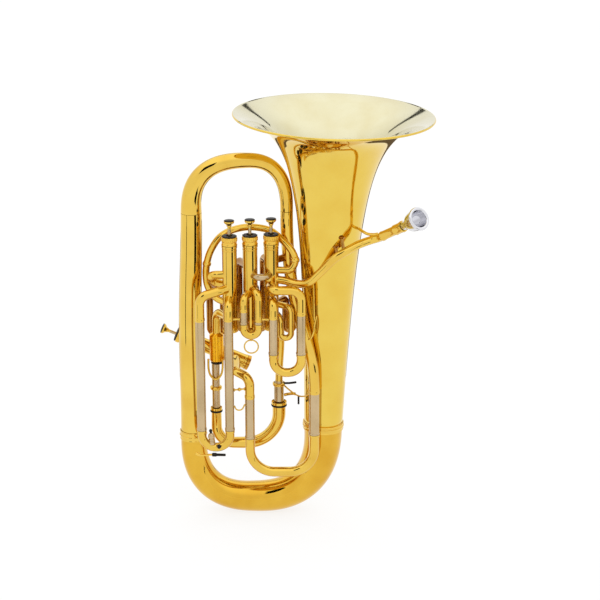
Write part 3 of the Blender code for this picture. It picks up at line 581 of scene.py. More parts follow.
def saddle(ring, toward, foot, axis, radius):
    """Slide an end ring along the pipe until it lies on a round casing."""
    fitted = []
    d = toward - axis * toward.dot(axis)
    for p in ring:
        r = p - foot
        r = r - axis * r.dot(axis)
        qa = d.dot(d)
        qb = 2 * r.dot(d)
        qc = r.dot(r) - radius * radius
        root = math.sqrt(max(qb * qb - 4 * qa * qc, 0.0))
        fitted.append(p + toward * ((-qb - root) / (2 * qa)))
    return fitted


def pipe(name, path, outer, inner, looks, sides, side=Y_SIDE, joints=(None, None), bands=None):
    """Hollow open-ended pipe; joints are (foot, axis, radius) of casings met.

    bands is a list of (distance, metal number): from that distance on.
    """
    rows = stations(path, (outer, inner, bands or []), side)
    ends = [0, len(rows)]
    for which, joint in enumerate(joints):
        if not joint:
            continue
        foot, axis, radius = joint

        def far(row):
            r = row[1] - foot
            return (r - axis * r.dot(axis)).length

        clear = radius + 4.0
        if which == 0:
            ends[0] = next(k for k, row in enumerate(rows) if far(row) > clear)
        else:
            ends[1] = next(k for k in range(len(rows) - 1, -1, -1) if far(rows[k]) > clear) + 1
    rows = rows[ends[0]:ends[1]]
    skin_rings, spots = sweep(rows, outer, sides)
    bore_rings, bore_spots = sweep(rows, inner, sides)
    for which, joint in enumerate(joints):
        if not joint:
            continue
        foot, axis, radius = joint
        row = rows[0] if which == 0 else rows[-1]
        toward = -row[2] if which == 0 else row[2]
        at = 0 if which == 0 else -1
        flared = [row[1] + (p - row[1]) * 1.08 for p in skin_rings[at]]
        extra = [
            saddle(flared, toward, foot, axis, radius - 0.3),
            saddle(skin_rings[at], toward, foot, axis, radius + 0.9),
        ]
        inside = [saddle(bore_rings[at], toward, foot, axis, radius - 0.3)]
        if which == 0:
            skin_rings = extra + skin_rings
            bore_rings = inside + bore_rings
            spots = [spots[0]] * 2 + spots
            bore_spots = [bore_spots[0]] + bore_spots
        else:
            skin_rings = skin_rings + extra[::-1]
            bore_rings = bore_rings + inside
            spots = spots + [spots[-1]] * 2
            bore_spots = bore_spots + [bore_spots[-1]]
    rings = skin_rings + bore_rings[::-1]
    places = spots + bore_spots[::-1]
    marks = None
    if bands:
        marks = []
        for k, s in enumerate(places):
            middle = (s + places[(k + 1) % len(places)]) / 2
            marks.append(next(m for d, m in reversed(bands) if middle >= d - 0.001))
    return skin(name, rings, looks, marks, loop=True)


def casing(index):
    """Foot, axis and radius of a valve casing, for pipes that meet it."""
    if index == 4:
        return side_foot, side_axis, CASING_R
    x, y = VALVE_AXES[index - 1]
    return Vector((x, y, 0.0)), Z_SIDE, CASING_R


def axis_point(index, z):
    """Point on the axis of upright valve index (1 to 3) at height z."""
    x, y = VALVE_AXES[index - 1]
    return Vector((x, y, z))


def band(name, centre, axis, bore, profile, look=BRASS, body=ROOT, sides=48):
    """Small turned ring round a tube; profile is (extra radius, height)."""
    shape = [(bore + r, h) for r, h in profile]
    low, high = profile[0][1], profile[-1][1]
    ring = [(bore, low)] + shape + [(bore, high)]
    settle(lathe(name, ring, sides, look, centre, axis, edge=0.12), body)


def bead(height, swell):
    """Half-round profile of a soldered ring of a given height."""
    steps = 8
    return [
        (swell * math.sin(math.pi * i / steps) ** 0.6 + 0.05, height * (i / steps - 0.5))
        for i in range(steps + 1)
    ]


def post(name, start, end, radius, foot, look=BRASS):
    """Turned stay between two tubes, with a flange at each end."""
    along = (end - start).normalized()
    run = (end - start).length
    low = [(0.0, 0.0), (foot, 0.0), (foot * 0.92, 0.6), (radius * 1.25, 1.5), (radius, 2.4)]
    high = [(r, run - h) for r, h in low]
    side = X_SIDE if abs(along.x) < 0.8 else Y_SIDE
    obj = lathe(name, low + high[::-1], 20, look, start, along, loop=False, edge=0.1, side=side)
    settle(obj, ROOT)


def tube_gap(name, left, right, left_r, right_r, z, radius, foot):
    """Stay between two upright tubes given by (x, y)."""
    a = Vector((left[0], left[1], z))
    b = Vector((right[0], right[1], z))
    u = (b - a).normalized()
    post(name, a + u * (left_r - 0.2), b - u * (right_r - 0.2), radius, foot)


def wire(name, points, radius, look=BRASS):
    """Bent round wire through points, with slightly drawn-in ends."""
    path = spline(points)
    run = lengths(path)[-1]
    table = [(0.0, radius * 0.7), (0.5, radius), (run - 0.5, radius), (run, radius * 0.7)]
    rings, _ = sweep(stations(path, (table,), Z_SIDE), table, 16)
    settle(skin(name, rings, look, edge=0.1), ROOT)


def curve_through(points, steps):
    """Smooth (radius, height) profile through a few turning marks."""
    path = spline([(r, 0.0, h) for r, h in points], steps)
    return [(p.x, p.z) for p in path]


def collar(node, bore, half, ring, sides, foot, axis=Z_SIDE):
    """Soldered ferrule of a given half height over a joint of two branches."""
    shape = [(bore, -half)] + [(bore + r, h) for r, h in ring] + [(bore, half)]
    stand_for(node, lathe, shape, sides, BRASS, foot, axis, edge=0.1)


# ------------------------------------------------------------ bell
def flare(height):
    """Outer radius of the bell at a height above its foot."""
    ratio = BELL_FLARE_X0 / (BELL_LENGTH - height + BELL_FLARE_X0)
    return BELL_RIM_R * ratio ** BELL_FLARE_POWER


def bell_profile():
    """Sheet of even thickness up to a rolled wire rim, then back down inside."""
    half = BELL_WALL / 2
    ratio = ((BELL_RIM_R - 2.6) / BELL_RIM_R) ** (1 / BELL_FLARE_POWER)
    limit = BELL_LENGTH - (BELL_FLARE_X0 / ratio - BELL_FLARE_X0)
    outer = []
    inner = []
    count = 90
    for i in range(count + 1):
        t = i / count
        h = limit * (1.0 - (1.0 - t) ** 2.4)
        slope = (flare(h + 0.05) - flare(h - 0.05)) / 0.1
        size = math.hypot(1.0, slope)
        outer.append((flare(h) - half + half / size, h - half * slope / size if i else 0.0))
        inner.append((flare(h) - half - half / size, h + half * slope / size if i else 0.0))
    wire_r = 1.8
    centre = (BELL_RIM_R + 1.5 - wire_r, BELL_LENGTH - wire_r)
    rim = []
    for i in range(25):
        angle = math.radians(168 + i * (472 - 168) / 24)
        rim.append((centre[0] + wire_r * math.cos(angle), centre[1] + wire_r * math.sin(angle)))
    return outer + rim + inner[::-1]


bell_shape = bell_profile()
# the inner half of the bell's profile gets the pale cream of painted highlight
marks = [1 if i > len(bell_shape) / 2 + 8 else 0 for i in range(len(bell_shape))]
stand_for("bell", lathe, bell_shape, 160, (BELL_BRASS, BELL_INSIDE_PAINTED_HIGHLIGHT), BELL_FOOT, bell_axis, marks,
          edge=0, slot="lacquered_brass")
foot_r = flare(0.0)

# ------------------------------------------------------------ main branches
bow_path = half_bow(
    (BRANCH_X, BRANCH_FOOT_Z), (BELL_FOOT.x, BELL_FOOT.z), BOTTOM_BOW_APEX, BOW_POWER, 120
)
bow_path[-1] = BELL_FOOT - bell_axis * GAP
bow_path[-2] = BELL_FOOT - bell_axis * END_RUN
run = lengths(bow_path)[-1]
bow_outer = smooth_value(*BOTTOM_BOW_R, foot_r, run)
# the bottom bow wears the darker painted-shade brass
stand_for("bottom_bow", pipe, bow_path, bow_outer, lambda s: bow_outer(s) - MAIN_WALL, PAINTED_SHADE_BOW_BRASS,
          96)

half = 6.0
ring = [
    (0.2, -half), (1.1, -half + 0.4), (1.3, -half + 1.6), (0.9, -half + 2.2), (1.0, -0.9),
    (1.7, -0.6), (2.1, 0.6), (1.8, 1.6), (1.0, 2.0), (0.9, half - 2.0), (1.5, half - 1.4),
    (1.6, half - 0.6), (1.0, half),
]
collar("bell_ferrule", foot_r + 0.35, half, ring, 120, BELL_FOOT, bell_axis)

low = BRANCH_FOOT_Z + GAP
high = BRANCH_TOP_Z - GAP
branch_path = [Vector((BRANCH_X, 0.0, low))]
for i in range(41):
    t = i / 40
    x = BRANCH_X + (BRANCH_TOP_X - BRANCH_X) * t - BRANCH_BULGE * math.sin(math.pi * t) ** 2
    branch_path.append(Vector((x, 0.0, low + END_RUN + (high - low - 2 * END_RUN) * t)))
branch_path.append(Vector((BRANCH_TOP_X, 0.0, high)))
run = lengths(branch_path)[-1]
branch_outer = [(0.0, BOTTOM_BOW_R[0]), (run, BRANCH_TOP_R)]
branch_inner = [(s, r - MAIN_WALL) for s, r in branch_outer]
stand_for("left_branch", pipe, branch_path, branch_outer, branch_inner, BRASS, 80)

half = 7.5
ring = [
    (0.1, -half), (0.9, -half + 0.3), (1.2, -half + 1.2), (0.8, -half + 1.8), (0.8, -0.8),
    (1.6, -0.5), (1.9, 0.0), (1.6, 0.5), (0.8, 0.8), (0.8, half - 1.8), (1.2, half - 1.2),
    (0.9, half - 0.3), (0.1, half),
]
collar("branch_ferrule", BOTTOM_BOW_R[0] + 0.4, half, ring, 96,
       Vector((BRANCH_X, 0, BRANCH_FOOT_Z)))

arch_path = half_bow(
    (BRANCH_TOP_X, BRANCH_TOP_Z), (SMALL_X, BRANCH_TOP_Z), TOP_BOW_APEX, BOW_POWER, 110
)
for spot in arch_path:
    spot.y = SMALL_Y * (spot.x - BRANCH_TOP_X) / (SMALL_X - BRANCH_TOP_X)
run = lengths(arch_path)[-1]
arch_outer = smooth_value(*TOP_BOW_R, run)
stand_for("top_bow", pipe, arch_path, arch_outer, lambda s: arch_outer(s) - MAIN_WALL, BRASS, 72)

small_path = spline(
    [
        (SMALL_X, SMALL_Y, BRANCH_TOP_Z - GAP), (SMALL_X, SMALL_Y, BRANCH_TOP_Z - 2 * END_RUN),
        (54.3, 8.6, 455.0), (57.5, 1.5, 412.0), (63.0, -11.0, 377.0), (70.0, -23.0, 346.0),
        (79.0, -33.0, 315.0), (88.0, -39.5, 286.0), (94.0, -41.8, 258.0),
        (MAIN_SLIDE_X[1], MAIN_SLIDE_Y, MAIN_SLEEVE_TOP[1] + 2 * END_RUN),
        (MAIN_SLIDE_X[1], MAIN_SLIDE_Y, MAIN_SLEEVE_TOP[1] + GAP),
    ],
    8,
)
run = lengths(small_path)[-1]
small_outer = [(0.0, SMALL_BRANCH_R[0]), (run, SMALL_BRANCH_R[1])]
small_inner = [(s, r - 0.8) for s, r in small_outer]
stand_for("small_branch", pipe, small_path, small_outer, small_inner, BRASS, 56)


# ------------------------------------------------------------ valves
def knurl(radius, depth, count):
    """Radius that dips evenly round a cap for the fingers to grip."""
    def around(t):
        return radius - depth * (0.5 + 0.5 * math.cos(count * t)) ** 3
    return around


def valve(tag, foot, axis, length, piston_length, ribs):
    """One piston valve: casing, caps, rubber pad, piston, spring, button and inlay."""
    body = "valve_" + tag
    r = CASING_R
    shape = [
        (r + 0.6, 0.0), (r + 0.6, 3.0), (r + 0.1, 3.5), (r, 4.2), (r, length - 8.2),
        (r + 0.45, length - 7.9), (r + 0.45, length - 7.1), (r, length - 6.8),
        (r, length - 4.2), (r + 0.7, length - 3.6), (r + 0.7, length),
        (CASING_BORE, length), (CASING_BORE, 0.0),
    ]
    stand_for("valve_casing_" + tag, lathe, shape, 72, BRASS, foot, axis)

    cap_foot = foot + axis * (length + GAP)
    top = CAP_HEIGHT
    grip = knurl(CAP_R, 0.7, CAP_RIDGES)
    shape = [
        (CAP_R - 0.8, 0.0), (CAP_R - 0.1, 0.5), (CAP_R, 1.2), (CAP_R - 0.5, 1.9),
        (CAP_R - 0.9, 2.6), (CAP_R - 0.9, top - 8.2), (CAP_R - 0.3, top - 7.4),
        (grip, top - 6.8), (grip, top - 3.0),
        (knurl(CAP_R - 0.5, 0.5, CAP_RIDGES), top - 2.2), (CAP_R - 0.9, top - 1.5),
        (CAP_R - 1.3, top - 1.1), (CAP_HOLE_R + 0.2, top - 1.0), (CAP_HOLE_R, top - 1.2),
        (CAP_HOLE_R, top - 2.3), (CASING_BORE, top - CAP_ROOF), (CASING_BORE, 0.0),
    ]
    stand_for("top_cap_" + tag, lathe, shape, 132, CAP_BRASS, cap_foot, axis, edge=0.12)

    bottom_foot = foot - axis * (GAP + BOTTOM_CAP_HEIGHT)
    high = BOTTOM_CAP_HEIGHT
    shape = [(2.0, 0.0), (CAP_R - 4.6, 0.0), (CAP_R - 3.0, 0.4)]
    if ribs:
        for i in range(3):
            h = 1.2 + 1.7 * i
            shape += [(CAP_R - 1.3, h - 0.35), (CAP_R - 0.1, h), (CAP_R - 0.1, h + 0.8),
                      (CAP_R - 1.3, h + 1.15)]
    else:
        grip = knurl(CAP_R, 0.6, CAP_RIDGES)
        shape += [(CAP_R - 0.8, 1.6), (grip, 2.4), (grip, high - 1.8), (CAP_R - 0.4, high - 1.2)]
    shape += [(CAP_R - 0.3, high), (CASING_BORE, high), (CASING_BORE, CAP_FLOOR), (2.0, CAP_FLOOR)]
    stand_for("bottom_cap_" + tag, lathe, shape, 132, CAP_BRASS, bottom_foot, axis, edge=0.12)

    top_of_piston = length + CAP_HEIGHT - CAP_ROOF - PISTON_CLEAR
    piston_foot = foot + axis * (top_of_piston - piston_length)
    n = piston_length
    shape = [
        (PISTON_BORE, 0.0), (PISTON_R, 0.0), (PISTON_R, n - 1.2), (PISTON_R - 1.2, n),
        (STEM_R - 0.6, n), (STEM_R - 0.6, n - 2.5), (PISTON_BORE, n - 2.5),
        (PISTON_BORE, RECESS + 1.5), (STEM_R, RECESS + 1.5), (STEM_R, RECESS),
        (PISTON_BORE, RECESS),
    ]
    stand_for("piston_" + tag, lathe, shape, 64, MONEL, piston_foot, axis)

    cap_top = length + GAP + CAP_HEIGHT
    stem_foot = foot + axis * (top_of_piston + GAP)
    rise = cap_top + BUTTON_LIFT - top_of_piston - GAP
    high = rise + BUTTON_HEIGHT
    shape = [
        (0.0, 0.0), (STEM_R - 0.1, 0.0), (STEM_R - 0.1, rise - 8.4), (STEM_R - 0.1, rise - 5.6),
        (STEM_R + 0.8, rise - 5.1), (STEM_R + 0.8, rise - 4.1), (STEM_R + 1.7, rise - 1.9),
        (BUTTON_R - 2.6, rise - 0.7), (BUTTON_R - 0.9, rise + 0.7), (BUTTON_R, rise + 1.8),
        (BUTTON_R, high - 2.0), (BUTTON_R - 0.3, high - 1.6), (0.0, high - 1.5),
    ]
    marks = [1] * 2 + [0] * (len(shape) - 3)
    stand_for("finger_button_" + tag, lathe, shape, 48, (BRASS, NICKEL), stem_foot, axis, marks,
              loop=False, edge=0.15)
    dome = [(0.0, high - 1.6), (BUTTON_R - 0.1, high - 1.5), (BUTTON_R - 0.1, high - 0.9),
            (BUTTON_R - 1.0, high - 0.3), (BUTTON_R - 3.4, high + 0.1), (0.0, high + 0.3)]
    settle(lathe("button_inlay_" + tag, dome, 40, PEARL, stem_foot, axis, loop=False, edge=0.1),
           body)
    lobes = knurl(CAP_R - 0.6, 1.6, PAD_LOBES)
    pad = [(CAP_HOLE_R + 0.1, -0.9), (CAP_R - 2.2, -0.9), (lobes, -0.6), (lobes, 0.2),
           (CAP_R - 2.6, 0.8), (CAP_HOLE_R + 0.1, 0.9)]
    settle(lathe("cap_felt_" + tag, pad, 88, RUBBER, foot + axis * cap_top, axis, edge=0.1), ROOT)

    low = -BOTTOM_CAP_HEIGHT + CAP_FLOOR + SPRING_WIRE_R
    high = top_of_piston - piston_length + RECESS - GAP - SPRING_WIRE_R
    a = (Y_SIDE - axis * Y_SIDE.dot(axis)).normalized()
    b = axis.cross(a)
    coil = []
    total = SPRING_TURNS * SPRING_STEPS
    for i in range(total + 1):
        t = i / total
        angle = 2 * math.pi * SPRING_TURNS * t
        out = a * math.cos(angle) + b * math.sin(angle)
        coil.append(foot + out * SPRING_R + axis * (low + (high - low) * t))
    rows = stations(coil, (), axis)
    rings, _ = sweep(rows, SPRING_WIRE_R, 12)
    spring = settle(skin("wound_valve_spring_" + tag, rings, STEEL, edge=0),
                    nodes=("valve_spring_" + tag,))
    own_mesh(spring)


for index, (x, y) in enumerate(VALVE_AXES):
    valve(str(index + 1), Vector((x, y, CASING_Z[0])), Z_SIDE, CASING_Z[1] - CASING_Z[0],
          PISTON_LENGTH, False)
valve("4", side_foot, side_axis, SIDE_CASING_LENGTH, SIDE_PISTON_LENGTH, True)


# ------------------------------------------------------------ slides
def elbow_sleeve(name, x, y, valve_index, port_z, sleeve_z, brass_above, shrink=0.0):
    """Outer slide pipe: a brass elbow off the casing over a straight nickel pipe."""
    corners = [axis_point(valve_index, port_z), Vector((x, y, port_z)), Vector((x, y, sleeve_z))]
    path = fillet(corners, 12.0)
    total = lengths(path)[-1]
    change = total - (brass_above - sleeve_z)
    stand_for(name, pipe, path, SLEEVE_R - shrink, SLEEVE_BORE - shrink, (BRASS, NICKEL), 48,
              X_SIDE, (casing(valve_index), None), bands=[(0.0, 0), (change, 1)],
              slot="nickel_silver")
    band(name + "_ferrule", Vector((x, y, brass_above)), Z_SIDE, SLEEVE_R - shrink + 0.03,
         bead(5.0, 0.45))
    mouth_ring(name, x, y, sleeve_z, SLEEVE_R - shrink)


def mouth_ring(name, x, y, z, radius):
    """Reinforcing ring at the open end of a slide sleeve."""
    band(name + "_mouth", Vector((x, y, z + 2.0)), Z_SIDE, radius + 0.03,
         [(0.05, -2.0), (0.55, -1.7), (0.7, -0.8), (0.7, 0.9), (0.4, 1.5), (0.05, 1.8)], NICKEL)


def straight_sleeve(name, x, y, low, high, outer, bore):
    """Straight outer slide pipe."""
    path = [Vector((x, y, high)), Vector((x, y, low))]
    stand_for(name, pipe, path, outer, bore, NICKEL, 48)
    mouth_ring(name, x, y, low, outer)
    band(name + "_ferrule", Vector((x, y, high)), Z_SIDE, outer + 0.03, bead(6.0, 0.5))


def u_slide(name, xs, y, tops, mouths, crook_z, legs, crooks, wall, corner, looks, rings):
    """U slide: inner legs up to tops, a wider crook below the mouths, with or without rings."""
    left, right = xs
    corners = [
        Vector((left, y, tops[0])),
        Vector((left, y, crook_z)),
        Vector((right, y, crook_z)),
        Vector((right, y, tops[1])),
    ]
    path = fillet(corners, corner, 28)
    total = lengths(path)[-1]
    first = tops[0] - mouths[0] + GAP
    second = total - (tops[1] - mouths[1] + GAP)
    web = SHOULDER if legs[0] < crooks[0] else -SHOULDER
    outer = [(0.0, legs[0]), (first, legs[0])]
    if rings:
        outer += [
            (first, crooks[0] + 0.5), (first + 3.2, crooks[0] + 0.5), (first + 4.0, crooks[0]),
            (second - 4.0, crooks[1]), (second - 3.2, crooks[1] + 0.5), (second, crooks[1] + 0.5),
        ]
    else:
        outer += [(first, crooks[0]), (second, crooks[1])]
    outer += [(second, legs[1]), (total, legs[1])]
    inner = [
        (0.0, legs[0] - wall), (first + web, legs[0] - wall), (first + web, crooks[0] - wall),
        (second - web, crooks[1] - wall), (second - web, legs[1] - wall),
        (total, legs[1] - wall),
    ]
    stand_for(name, pipe, path, outer, inner, looks, 48, Y_SIDE,
              bands=[(0.0, 1), (first, 0), (second, 1)], slot="lacquered_brass")


elbow_sleeve("first_sleeve_left", FIRST_X[0], FIRST_Y, 1, FIRST_PORT_Z[0], FIRST_SLEEVE_Z[0],
             346.0)
straight_sleeve("first_sleeve_right", FIRST_X[1], FIRST_Y, *FIRST_SLEEVE_Z, SLEEVE_R, SLEEVE_BORE)
u_slide("first_slide", FIRST_X, FIRST_Y, (330.0, 330.0), (FIRST_SLEEVE_Z[0],) * 2, FIRST_CROOK_Z,
        (LEG_R, LEG_R), (CROOK_R, CROOK_R), SLIDE_WALL, 20.0, (BRASS, NICKEL), True)
knuckle = fillet(
    [
        axis_point(1, FIRST_PORT_Z[1]), (VALVE_AXES[0][0], FIRST_Y, FIRST_PORT_Z[1]),
        (FIRST_X[1], FIRST_Y, FIRST_PORT_Z[1]), (FIRST_X[1], FIRST_Y, FIRST_SLEEVE_Z[1] + GAP),
    ],
    (13.0, 16.0),
)
stand_for("first_knuckle", pipe, knuckle, SLEEVE_R, SLEEVE_BORE, BRASS, 48,
          joints=(casing(1), None))

for side_name, x, port_z, brass_above in zip(
    ("left", "right"), SECOND_X, SECOND_PORT_Z, (356.0, 340.5)
):
    elbow_sleeve("second_sleeve_" + side_name, x, SECOND_Y, 2, port_z, SECOND_MOUTH_Z,
                 brass_above, SECOND_R_CUT)
u_slide("second_slide", SECOND_X, SECOND_Y, (358.0, 358.0), (SECOND_MOUTH_Z,) * 2, SECOND_CROOK_Z,
        (LEG_R - SECOND_R_CUT,) * 2, (CROOK_R - SECOND_R_CUT,) * 2, SLIDE_WALL, 11.2,
        (BRASS, NICKEL), True)
ring_centre = Vector(((SECOND_X[0] + SECOND_X[1]) / 2, SECOND_Y, RING_Z))
loop = []
for i in range(72):
    t = 2 * math.pi * i / 72
    out = Vector((math.cos(t), 0.0, math.sin(t)))
    loop.append(ring_points(ring_centre + out * RING_R, out, Y_SIDE, RING_WIRE_R, 16))
stand_for("second_slide_ring", skin, loop, BRASS, loop=True, edge=0)
band("second_slide_ring_foot", ring_centre + Vector((0, 0, RING_R + 0.2)), Z_SIDE, 0.6,
     [(0.6, -1.6), (1.4, -0.6), (1.4, 0.6), (0.6, 1.6)], BRASS, "second_valve_slide", 24)

elbow_sleeve("third_sleeve_right", THIRD_X[1], THIRD_Y, 3, THIRD_PORT_Z[1], THIRD_SLEEVE_Z[0],
             342.0)
straight_sleeve("third_sleeve_left", THIRD_X[0], THIRD_Y, *THIRD_SLEEVE_Z, SLEEVE_R, SLEEVE_BORE)
u_slide("third_slide", THIRD_X, THIRD_Y, (270.0, 270.0), (THIRD_SLEEVE_Z[0],) * 2, THIRD_CROOK_Z,
        (LEG_R, LEG_R), (CROOK_R, CROOK_R), SLIDE_WALL, 21.5, (BRASS, NICKEL), True)
knuckle = fillet(
    [
        axis_point(3, THIRD_PORT_Z[0]), (-48.0, -42.0, THIRD_PORT_Z[0] - 0.5),
        (THIRD_X[0], THIRD_Y, THIRD_PORT_Z[0] - 7.5),
        (THIRD_X[0], THIRD_Y, THIRD_SLEEVE_Z[1] + GAP),
    ],
    (24.0, 16.0),
)
stand_for("third_knuckle", pipe, knuckle, SLEEVE_R, SLEEVE_BORE, BRASS, 48,
          joints=(casing(3), None))

straight_sleeve("main_sleeve_left", MAIN_SLIDE_X[0], MAIN_SLIDE_Y, MAIN_SLEEVE_Z[0],
                MAIN_SLEEVE_TOP[0], MAIN_SLEEVE_R[0], MAIN_SLEEVE_R[0] - SLIDE_WALL)
straight_sleeve("main_sleeve_right", MAIN_SLIDE_X[1], MAIN_SLIDE_Y, MAIN_SLEEVE_Z[1],
                MAIN_SLEEVE_TOP[1], MAIN_SLEEVE_R[1], MAIN_SLEEVE_R[1] - SLIDE_WALL)
u_slide("main_slide", MAIN_SLIDE_X, MAIN_SLIDE_Y, (205.0, 213.0), MAIN_SLEEVE_Z, MAIN_CROOK_Z,
        (MAIN_SLEEVE_R[0] - 1.0, MAIN_SLEEVE_R[1] - 1.0), MAIN_SLEEVE_R, SLIDE_WALL, 38.0,
        (BRASS, NICKEL), True)

# ------------------------------------------------------------ side valve pipework
u_slide(
    "fourth_slide", FOURTH_X, FOURTH_Y, FOURTH_RING_Z,
    (FOURTH_RING_Z[0] - RING_DEPTH + GAP, FOURTH_RING_Z[1] - RING_DEPTH + GAP), FOURTH_CROOK_Z,
    (FOURTH_CROOK_R[0] + 1.3, FOURTH_CROOK_R[1] + 1.6), FOURTH_CROOK_R, FOURTH_WALL,
    FOURTH_CORNER, (BRASS, BRASS), False,
)
feed = [
    Vector((FOURTH_X[0], FOURTH_Y, BOX_Z[0] - GAP)),
    Vector((FOURTH_X[0], FOURTH_Y, FOURTH_LEG_END_Z[0])),
]
stand_for("fourth_inner_leg", pipe, feed, FOURTH_LEG_R[0], FOURTH_LEG_R[0] - TUBE_WALL, NICKEL,
          48)

# pipe off the third valve, widening into the port box
port_top = BOX_Z[1] + 37.0
link = fillet(
    [
        axis_point(3, port_top), (BOX_X, FOURTH_Y, port_top), (BOX_X, FOURTH_Y, BOX_Z[0]),
    ],
    15.0,
)
run = lengths(link)[-1]
tall = BOX_Z[1] - BOX_Z[0]
link_outer = [
    (0.0, TUBE_R), (run - tall - 2.0, TUBE_R), (run - tall - 1.0, TUBE_R + 0.7),
    (run - tall + 0.8, BOX_R - 1.6), (run - tall + 3.0, BOX_R), (run - 3.0, BOX_R),
    (run - 1.0, BOX_R - 1.6), (run, FOURTH_LEG_R[0] + 1.0),
]
link_inner = [
    (0.0, TUBE_R - TUBE_WALL), (run - tall + 1.0, TUBE_R - TUBE_WALL),
    (run - tall + 4.0, BOX_R - 1.2), (run - 4.0, BOX_R - 1.2),
    (run, FOURTH_LEG_R[0] - TUBE_WALL),
]
# the port box part wears the flat bright amber of painted highlight
stand_for("third_to_fourth_pipe", pipe, link, link_outer, link_inner, (BRASS, BOX_PAINTED_HIGHLIGHT_BRASS), 48,
          joints=(casing(3), None), bands=[(0.0, 0), (run - tall - 1.0, 1)],
          slot="lacquered_brass")

# pipe from the wide slide back to the first valve
back_path = spline(
    [
        (FOURTH_X[1], FOURTH_Y, FOURTH_LEG_END_Z[1]), (FOURTH_X[1], FOURTH_Y, FOURTH_LEG_TOP_Z),
        (41.5, 10.5, 245.0), (43.5, 8.5, 278.0), (43.5, 4.0, 308.0), (42.5, -2.0, 325.0),
        (37.0, -10.0, 335.5), axis_point(1, 338.0),
    ]
)
stub = FOURTH_LEG_TOP_Z - FOURTH_LEG_END_Z[1]
run = lengths(back_path)[-1]
back_outer = [
    (0.0, FOURTH_LEG_R[1]), (stub, FOURTH_LEG_R[1]), (stub + 5.0, RETURN_R), (run, RETURN_R),
]
back_inner = [(s, r - TUBE_WALL) for s, r in back_outer]
stand_for("fourth_return_pipe", pipe, back_path, back_outer, back_inner, (BRASS, NICKEL), 48,
          joints=(None, casing(1)), bands=[(0.0, 1), (stub + 5.0, 0)], slot="lacquered_brass")

# crook from the side valve to the main slide
port = side_foot + side_axis * 18.0
crook = fillet(
    [
        port, (-26.0, -22.0, 247.0), (MAIN_SLIDE_X[0], MAIN_SLIDE_Y, 243.0),
        (MAIN_SLIDE_X[0], MAIN_SLIDE_Y, MAIN_SLEEVE_TOP[0] + GAP),
    ],
    (14.0, 15.0),
)
stand_for("fourth_to_main_crook", pipe, crook, MAIN_SLEEVE_R[0] - 0.1, MAIN_SLEEVE_R[0] - 0.8,
          BRASS, 48, joints=(casing(4), None))

# ------------------------------------------------------------ compensating pipes
arch = spline(
    [
        axis_point(1, 412.0), (48.0, -23.0, 412.0), (60.0, -25.0, 414.0), (66.5, -21.5, 426.0),
        (62.5, -17.0, 439.0), (54.0, -11.5, 449.0), (43.0, -3.8, 457.5), (30.0, 9.0, 464.5),
        (13.0, 14.0, 468.0), (-8.0, 15.0, 469.0), (-31.0, 12.5, 464.5), (-49.0, 8.0, 455.0),
        (-62.0, 3.0, 437.0), (-68.5, 0.0, 418.0), (-70.5, -1.0, 397.0), (-67.0, -4.0, 378.0),
        (-54.0, -12.0, 363.0), axis_point(3, 360.0),
    ],
    7,
)
stand_for("arch_pipe", pipe, arch, SMALL_TUBE_R, SMALL_TUBE_R - TUBE_WALL, BRASS, 40,
          joints=(casing(1), casing(3)))

u_pipe = fillet(
    [
        axis_point(1, 341.0), (44.0, -36.0, 341.0), (44.0, -36.0, 307.0), (60.0, -36.0, 307.0),
        (60.0, -36.0, 357.0), axis_point(1, 357.0),
    ],
    (9.0, 7.9, 7.9, 9.0),
)
stand_for("first_compensating_pipe", pipe, u_pipe, FIRST_COMP_R, FIRST_COMP_R - TUBE_WALL, BRASS,
          36, joints=(casing(1), casing(1)))

c_pipe = fillet(
    [
        axis_point(3, 406.0), (-62.0, -28.0, 406.0), (-62.0, -9.0, 389.0), axis_point(3, 389.0),
    ],
    (9.0, 9.0),
)
stand_for("third_compensating_pipe", pipe, c_pipe, THIRD_COMP_R, THIRD_COMP_R - TUBE_WALL, BRASS,
          36, joints=(casing(3), casing(3)))

link = fillet(
    [
        axis_point(2, 406.0), (9.0, -40.0, 406.0), (23.0, -39.0, 406.0), axis_point(1, 406.0),
    ],
    (8.0, 8.0),
)
stand_for("valve_link_knuckle", pipe, link, LINK_R, LINK_R - TUBE_WALL, NICKEL, 36,
          joints=(casing(2), casing(1)))

# ------------------------------------------------------------ mouthpiece line
lead = spline(
    [
        RECEIVER_FOOT - LINE * GAP, RECEIVER_FOOT - LINE * 4.0, RECEIVER_FOOT - LINE * 9.0,
        (181.5, -48.0, 468.0), (169.0, -51.0, 464.5), (155.8, -56.0, 460.0),
        (127.0, -59.5, 443.0), (104.5, -50.5, 417.5), (87.0, -41.0, 398.5), (70.0, -33.0, 393.5),
        (51.0, -24.0, 395.5), axis_point(1, 396.5),
    ],
    12,
)
stand_for("leadpipe", pipe, lead, LEADPIPE_R, LEADPIPE_BORE, BRASS, 48, joints=(None, casing(1)))

top = RECEIVER_LENGTH
mid = top - RECEIVER_COLLAR
receiver = [
    (RECEIVER_R - 0.3, 0.0), (RECEIVER_R + 0.5, 0.4), (RECEIVER_R + 0.7, 2.0),
    (RECEIVER_R + 0.5, 3.8), (RECEIVER_R, 4.6), (RECEIVER_R, mid - 2.0),
    (RECEIVER_R + 0.9, mid - 1.2), (RECEIVER_R + 1.2, mid), (RECEIVER_R + 0.9, mid + 1.2),
    (RECEIVER_R + 1.0, top - 4.4), (RECEIVER_R + 1.6, top - 3.6), (RECEIVER_R + 1.6, top - 1.2),
    (RECEIVER_R + 0.7, top), (RECEIVER_R - 0.7, top), (RECEIVER_R - 1.3, top - MOUTH_INSERT - 2.0),
    (RECEIVER_R - 1.8, 0.0),
]
stand_for("mouthpiece_receiver", lathe, receiver, 56, BRASS, RECEIVER_FOOT, LINE, edge=0.15)

